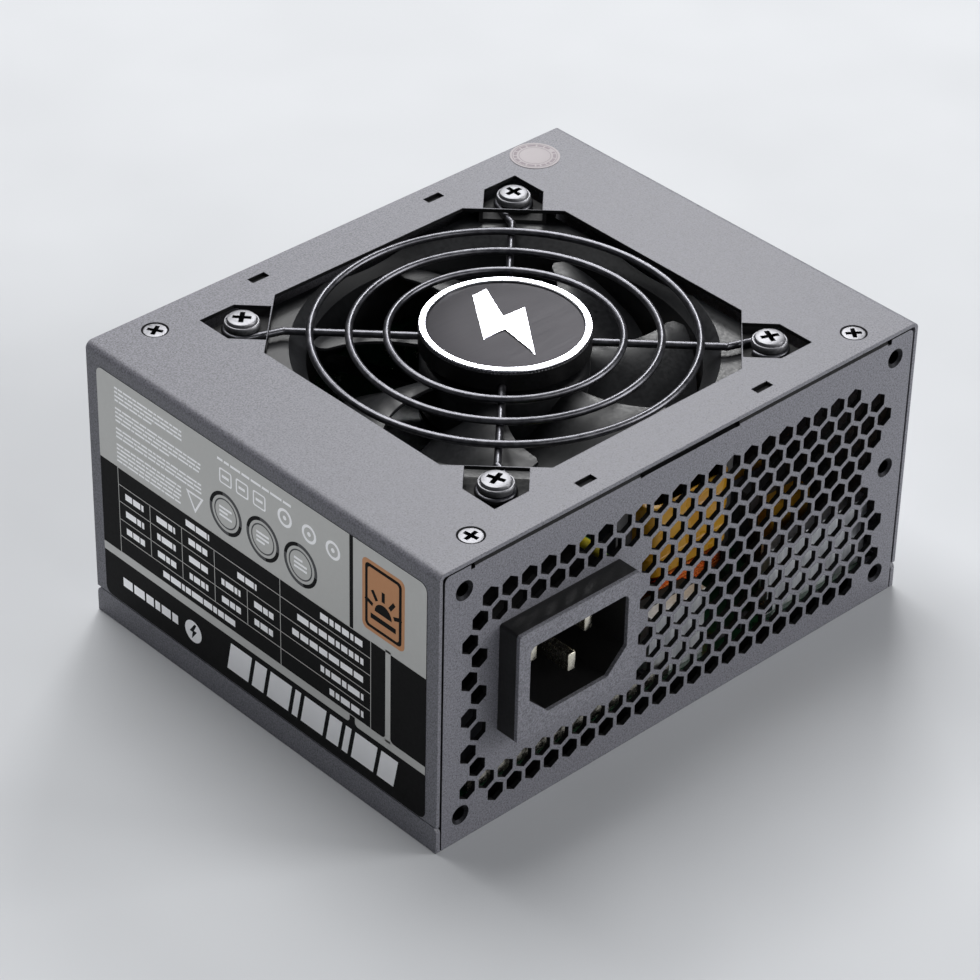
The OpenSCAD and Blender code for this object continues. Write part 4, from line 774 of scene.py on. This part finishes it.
def filter_choke():
    """Two windings on opposite halves of the mains filter's ring."""
    core = box_mm("filter_choke_core")
    x, y, z = ((a + b) / 2 for a, b in zip(*core))
    bm = bmesh.new()
    ring_winding(bm, x, y, z, 7.0, 3.6, 3.5, 0.9, ((14, 166), (194, 346)))
    piece("filter_choke_turns", bm, "casing", [COPPER], ["filter_choke_winding"])


def output_ring_choke():
    """Coated powder ring with three windings, lying behind the output sockets."""
    low, high = box_mm("output_choke")
    x, y, z = ((a + b) / 2 for a, b in zip(low, high))
    bm = bmesh.new()
    lathe(bm, [(4.2, z - 4.5), (4.5, z - 4.8), (8.2, z - 4.8), (8.5, z - 4.5), (8.5, z + 4.5),
               (8.2, z + 4.8), (4.5, z + 4.8), (4.2, z + 4.5)], 64, (x, y), 1)
    ring_winding(bm, x, y, z, 8.2, 4.5, 4.7, 1.1, ((40, 142), (160, 262), (280, 380)))
    piece("output_choke_turns", bm, "casing", [COPPER, POWDER_CORE], ["output_choke"])


def coil(bm, x, y, low_z, high_z, radius, wire):
    """Helix of wire round an upright former."""
    turns = int((high_z - low_z) / (wire * 1.04))
    path = []
    for k in range(turns * 40 + 1):
        a = math.tau * k / 40
        path.append((x + radius * math.cos(a), y + radius * math.sin(a),
                     low_z + (high_z - low_z) * k / (turns * 40)))
    tube(bm, path, wire / 2, 8)


def power_factor_choke():
    """Helical winding on a flanged black bobbin."""
    low, high = box_mm("choke_winding")
    x, y = (low.x + high.x) / 2, (low.y + high.y) / 2
    bm = bmesh.new()
    coil(bm, x, y, low.z + 0.7, high.z - 0.7, 8.0, 1.2)
    lathe(bm, [(4.7, low.z), (8.6, low.z), (8.6, low.z + 0.5), (7.4, low.z + 0.5), (7.4, high.z - 0.5),
               (8.6, high.z - 0.5), (8.6, high.z), (4.7, high.z)], 48, (x, y), 1)
    piece("power_factor_choke_turns", bm, "casing", [COPPER, SOCKET_NYLON],
          ["choke_winding"])


def taped_transformer():
    """Winding under overlapped turns of tape, with copper showing below the tape."""
    low, high = box_mm("transformer_winding")
    x, y = (low.x + high.x) / 2, (low.y + high.y) / 2
    half_x, half_y = (high.x - low.x) / 2, (high.y - low.y) / 2
    bm = bmesh.new()
    bare = low.z + (high.z - low.z) * 0.3

    def band(z0, z1, inset, material):
        rings = []
        for z, more in ((z0, 0.12), (z0 + 0.12, 0), (z1 - 0.12, 0), (z1, 0.12)):
            outline = round_rect(x - half_x + inset + more, y - half_y + inset + more,
                                 x + half_x - inset - more, y + half_y - inset - more, 3.0)
            rings.append([(u, v, z) for u, v in outline])
        skin(bm, rings, material=material)

    band(low.z, high.z, 0.9, 1)
    step = (high.z - bare) / 4
    for k in range(4):
        band(bare + k * step, bare + (k + 1) * step + (0.2 if k < 3 else 0), 0.05 + 0.14 * (k % 2), 0)
    wire = 0.8
    z = low.z + 0.6
    while z < bare - 0.2:
        outline = round_rect(x - half_x + 0.6, y - half_y + 0.6, x + half_x - 0.6, y + half_y - 0.6, 3.0)
        tube(bm, [(u, v, z) for u, v in outline], wire / 2, 8, [2] * 8, closed=True)
        z += wire
    piece("transformer_taped_winding", bm, "casing", [TAPE, SOCKET_NYLON, COPPER],
          ["transformer_winding"])


def can_capacitor(bm, x, y, low_z, high_z, radius, sleeve, top):
    """Aluminium can in a shrunk sleeve: rolled groove near its foot and a scored vent on top."""
    lathe(bm, [(0, low_z), (radius - 0.4, low_z), (radius, low_z + 0.4), (radius, low_z + 1.6),
               (radius - 0.5, low_z + 2.1), (radius, low_z + 2.6), (radius, high_z - 0.5),
               (radius - 0.3, high_z - 0.1), (radius - 0.8, high_z), (radius - 1.0, high_z - 0.15),
               (0, high_z - 0.15)], 40, (x, y), sleeve)
    plate = radius - 1.15
    lathe(bm, [(0, high_z - 0.16), (plate, high_z - 0.16), (plate, high_z - 0.1), (0, high_z - 0.1)],
          40, (x, y), top)
    for turn in (0, 60, 120):
        bar = [(-plate * 0.7, -0.12), (plate * 0.7, -0.12), (plate * 0.7, 0.12), (-plate * 0.7, 0.12)]
        prism(bm, turned(bar, math.radians(turn), x, y), high_z - 0.12, high_z - 0.06, upright, sleeve)


def capacitors():
    """The large bulk can and the row of output cans in three heights."""
    low, high = box_mm("bulk_capacitor")
    bm = bmesh.new()
    radius = (high.x - low.x) / 2
    can_capacitor(bm, (low.x + high.x) / 2, (low.y + high.y) / 2, low.z, high.z, radius, 0, 1)
    piece("bulk_capacitor_can", bm, "casing", [SLEEVE, HEAT_SINK], ["bulk_capacitor"])
    low, high = box_mm("output_capacitors")
    bm = bmesh.new()
    radius = (high.y - low.y) / 2
    for k in range(8):
        x = low.x + radius + k * (high.x - low.x - 2 * radius) / 7
        can_capacitor(bm, x, (low.y + high.y) / 2, low.z, high.z - (k % 3) * 2.2, radius, 0, 1)
    piece("output_capacitor_cans", bm, "casing", [SLEEVE_BLUE, HEAT_SINK],
          ["output_capacitors"])


def board_trifles():
    """Small resistors, diodes and film capacitors standing on the free strips of the board."""
    low, high = box_mm("main_board")
    top = high.z
    rng = random.Random(5)
    bm = bmesh.new()
    for k in range(16):
        x = -50 + 6.6 * k + rng.uniform(-0.8, 0.8)
        y = low.y + 1.7 + rng.uniform(0, 0.6)
        if 20 < x < 60 or -5 < x < 12:
            block(bm, (x - 1.6, y - 0.8, top), (x + 1.6, y + 0.8, top + 2.6), 0.25, 1 + k % 2)
        else:
            tube(bm, [(x - 2.2, y, top + 0.95), (x + 2.2, y, top + 0.95)], 0.9, 10, [k % 2] * 10)
    # tinned earth rail that stiffens the board behind the inlet
    start, end = -52, 1
    block(bm, (start, low.y + 0.15, top), (end, low.y + 0.7, top + 2.9), 0.12, 3)
    tube(bm, [(start, low.y + 0.42, top + 3.1), (end, low.y + 0.42, top + 3.1)], 0.4, 10, [3] * 10)
    piece("board_small_parts", bm, "casing", [EPOXY, SLEEVE, BOX_CASE, TINNED])


# ---- carried-over nodes ----

# Tapped holes of the rear panel, from its middle
MOUNT_HOLES = ((-56.5, -25.75), (56.5, -25.75), (-56.5, 25.75), (56.5, 25.75), (56.5, 0))


def dress(node, *materials, choose=None):
    """Gives a CAD node its finishes. Choose takes a face's centre in mm and returns which."""
    mesh = NODES[node].data
    mesh.materials.clear()
    for material in materials:
        mesh.materials.append(material)
    if choose:
        for face in mesh.polygons:
            face.material_index = choose(face.center / MM)
    else:
        for face in mesh.polygons:
            face.material_index = 0


def dress_nodes():
    """Finishes of every CAD node that shows as it was made."""
    for node in ("base_tray", "inlet_face_plate"):
        dress(node, STEEL_PAINT)
    top, end = box_mm("top_cover")[1].z, box_mm("top_cover")[1].y
    holes = [(x, top / 2 + z) for x, z in MOUNT_HOLES]
    # the panels are 1 mm sheet and fold in under the cover; the cover is 0.8 mm sheet
    hole_r, fold_low, fold_start, slot_half = 2.12, top - 2.3, 1.4, 13
    seat_top, seat_half = top - 0.86, 42

    def panel_finish(c):
        """0 paint, 1 painted shade on hole walls and on the folds under the cover, 2 bare threads darkened
        with painted shade.
        """
        depth = end - abs(c.y)
        if c.y < 0 and any(math.hypot(c.x - x, c.z - z) < hole_r for x, z in holes):
            return 2
        fold = c.z > fold_low and (depth > fold_start or abs(c.x) < slot_half)
        return int(fold or 0.05 < depth < 0.95)

    for node in ("rear_panel", "output_panel"):
        dress(node, STEEL_PAINT, PAINTED_SHADE_COAT, THREADS_AND_RECESS_SHADE, choose=panel_finish)

    def cover_finish(c):
        """0 paint, 1 painted shade on the fan's lowered seats, 2 painted shade on the walls of openings and
        slots.
        """
        if c.z < seat_top and abs(c.x) < seat_half and abs(c.y) < seat_half:
            return 1
        wall = top - 0.72 < c.z < top - 0.08
        return 2 * int(wall and abs(c.x) < 60 and abs(c.y) < end - 1.2)

    dress("top_cover", STEEL_PAINT, SEAT_SHADE_BLACK, PAINTED_SHADE_COAT, choose=cover_finish)
    plain = {"fan_guard": WIRE, "badge_body": ABS_BLACK, "fan_frame": FAN_PLASTIC, "fan_bearing": BRONZE,
             "fan_circuit_board": MASK, "stator_core": LAMINATED, "stator_coils": COPPER,
             "rotor_yoke": GROUND_STEEL, "rotor_magnet": FERRITE, "rotor_shaft": GROUND_STEEL,
             "shaft_clip": NATURAL_NYLON, "inlet_housing": INLET_NYLON, "line_wire": PVC_BROWN,
             "neutral_wire": PVC_BLUE, "earth_stud": SCREW, "main_board": MASK, "insulating_film": FILM,
             "board_posts": BRASS, "board_screws": SCREW, "filter_capacitor": BOX_CASE,
             "filter_choke_core": FERRITE, "rectifier_heat_sink": HEAT_SINK, "choke_core": FERRITE,
             "transistor_heat_sink": HEAT_SINK, "transformer_core": FERRITE,
             "output_heat_sink": HEAT_SINK, "socket_board": MASK, "main_sockets": SOCKET_NYLON,
             "power_sockets": SOCKET_NYLON, "drive_sockets": SOCKET_NYLON, "socket_contacts": TINNED}
    for node, material in plain.items():
        dress(node, material)
    board = box_mm("main_board")[1].z
    legs = board + 3.1
    dress("bridge_rectifier", EPOXY, TINNED, choose=lambda c: int(c.z < legs))
    tabs = board + 12.5
    for node in ("power_transistors", "output_rectifiers"):
        dress(node, EPOXY, TINNED, choose=lambda c: int(c.z < legs or c.z > tabs))
    dress("disc_capacitors", DIPPED_BLUE, TINNED, choose=lambda c: int(c.z < board + 1.6))
    fuse = box_mm("fuse")
    dress("fuse", PORCELAIN, TINNED,
          choose=lambda c: int(c.x < fuse[0].x + 4 or c.x > fuse[1].x - 4))
    low, high = box_mm("standby_transformer")
    dress("standby_transformer", FERRITE, TAPE,
          choose=lambda c: int(c.y < low.y + 3.4 or c.y > high.y - 3.4))
    chip = box_mm("control_board")[0].x + 1.65
    dress("control_board", MASK, EPOXY, choose=lambda c: int(c.x > chip))
    dress("fan_lead", PVC_BLACK, PVC_RED, choose=lambda c: int(c.y < 14 - 0.35 * (c.x - 36)))


# ---- stage, light and camera ----

def area_light(name, at, aim, size, power, tint="#ffffff"):
    """A square softbox at a place in metres, turned to face a point."""
    lamp = bpy.data.lights.new(name, "AREA")
    lamp.shape = "RECTANGLE"
    lamp.size, lamp.size_y = size
    lamp.energy = power
    lamp.color = srgb(tint)[:3]
    thing = bpy.data.objects.new(name, lamp)
    thing.location = at
    thing.rotation_euler = (Vector(aim) - Vector(at)).to_track_quat("-Z", "Y").to_euler()
    bpy.context.scene.collection.objects.link(thing)


def stage():
    """Pale floor, four softboxes, an even backdrop of light and the camera."""
    bm = bmesh.new()
    half, gap = 4000.0, 0.1
    bm.faces.new([bm.verts.new((x, y, -gap)) for x, y in
                  ((-half, -half), (half, -half), (half, half), (-half, half))])
    # Matt painted studio floor, even enough to show no pattern
    material, tree, shader = finish("matt_painted_floor", "#d2d4d7", IOR=1.45)
    grain(tree, shader, 60, ("#d0d2d5", "#d4d6d9"), (0.78, 0.82), 0.0002)
    placed("floor", bm, [material])

    middle = Vector([(a + b) / 2 for a, b in zip(*CAD_BOX)])
    area_light("overhead_softbox", (0.12, 0.5, 1.1), middle, (0.8, 0.8), 11.6)
    area_light("back_softbox", (0.6, 0.52, 0.62), (0.045, -0.01, 0.06), (0.22, 0.22), 2.6)
    area_light("right_softbox", (0.75, -0.75, 0.42), middle, (0.45, 0.7), 5.8)
    area_light("front_strip", (0.1, -1.1, 0.75), middle, (0.9, 0.25), 2.2)
    world = bpy.data.worlds.new("studio")
    bpy.context.scene.world = world
    world.use_nodes = True
    join(world.node_tree, world.node_tree.nodes["Background"],
         {"Color": srgb("#dfe3ea"), "Strength": 0.11})

    camera = bpy.data.cameras.new("camera")
    camera.sensor_width = 36.0
    camera.lens = 138.44
    thing = bpy.data.objects.new("camera", camera)
    aim = Vector((-3.37, -0.3, 28.0)) * MM
    facing = Vector((0.5641, 0.5904, -0.5773)).normalized()
    roll = Quaternion((0, 0, 1), 0.0233)
    distance = 0.74
    thing.location = aim - facing * distance
    thing.rotation_euler = (facing.to_track_quat("-Z", "Y") @ roll).to_euler()
    bpy.context.scene.collection.objects.link(thing)
    bpy.context.scene.camera = thing
    bpy.context.scene.view_settings.view_transform = "Standard"


stage()
dress_nodes()
guard_screw_heads()
cover_screw_heads()
badge()
impeller()
rating_label()
seal()
inlet_blades()
earth_lead()
filter_choke()
output_ring_choke()
power_factor_choke()
taped_transformer()
capacitors()
board_trifles()
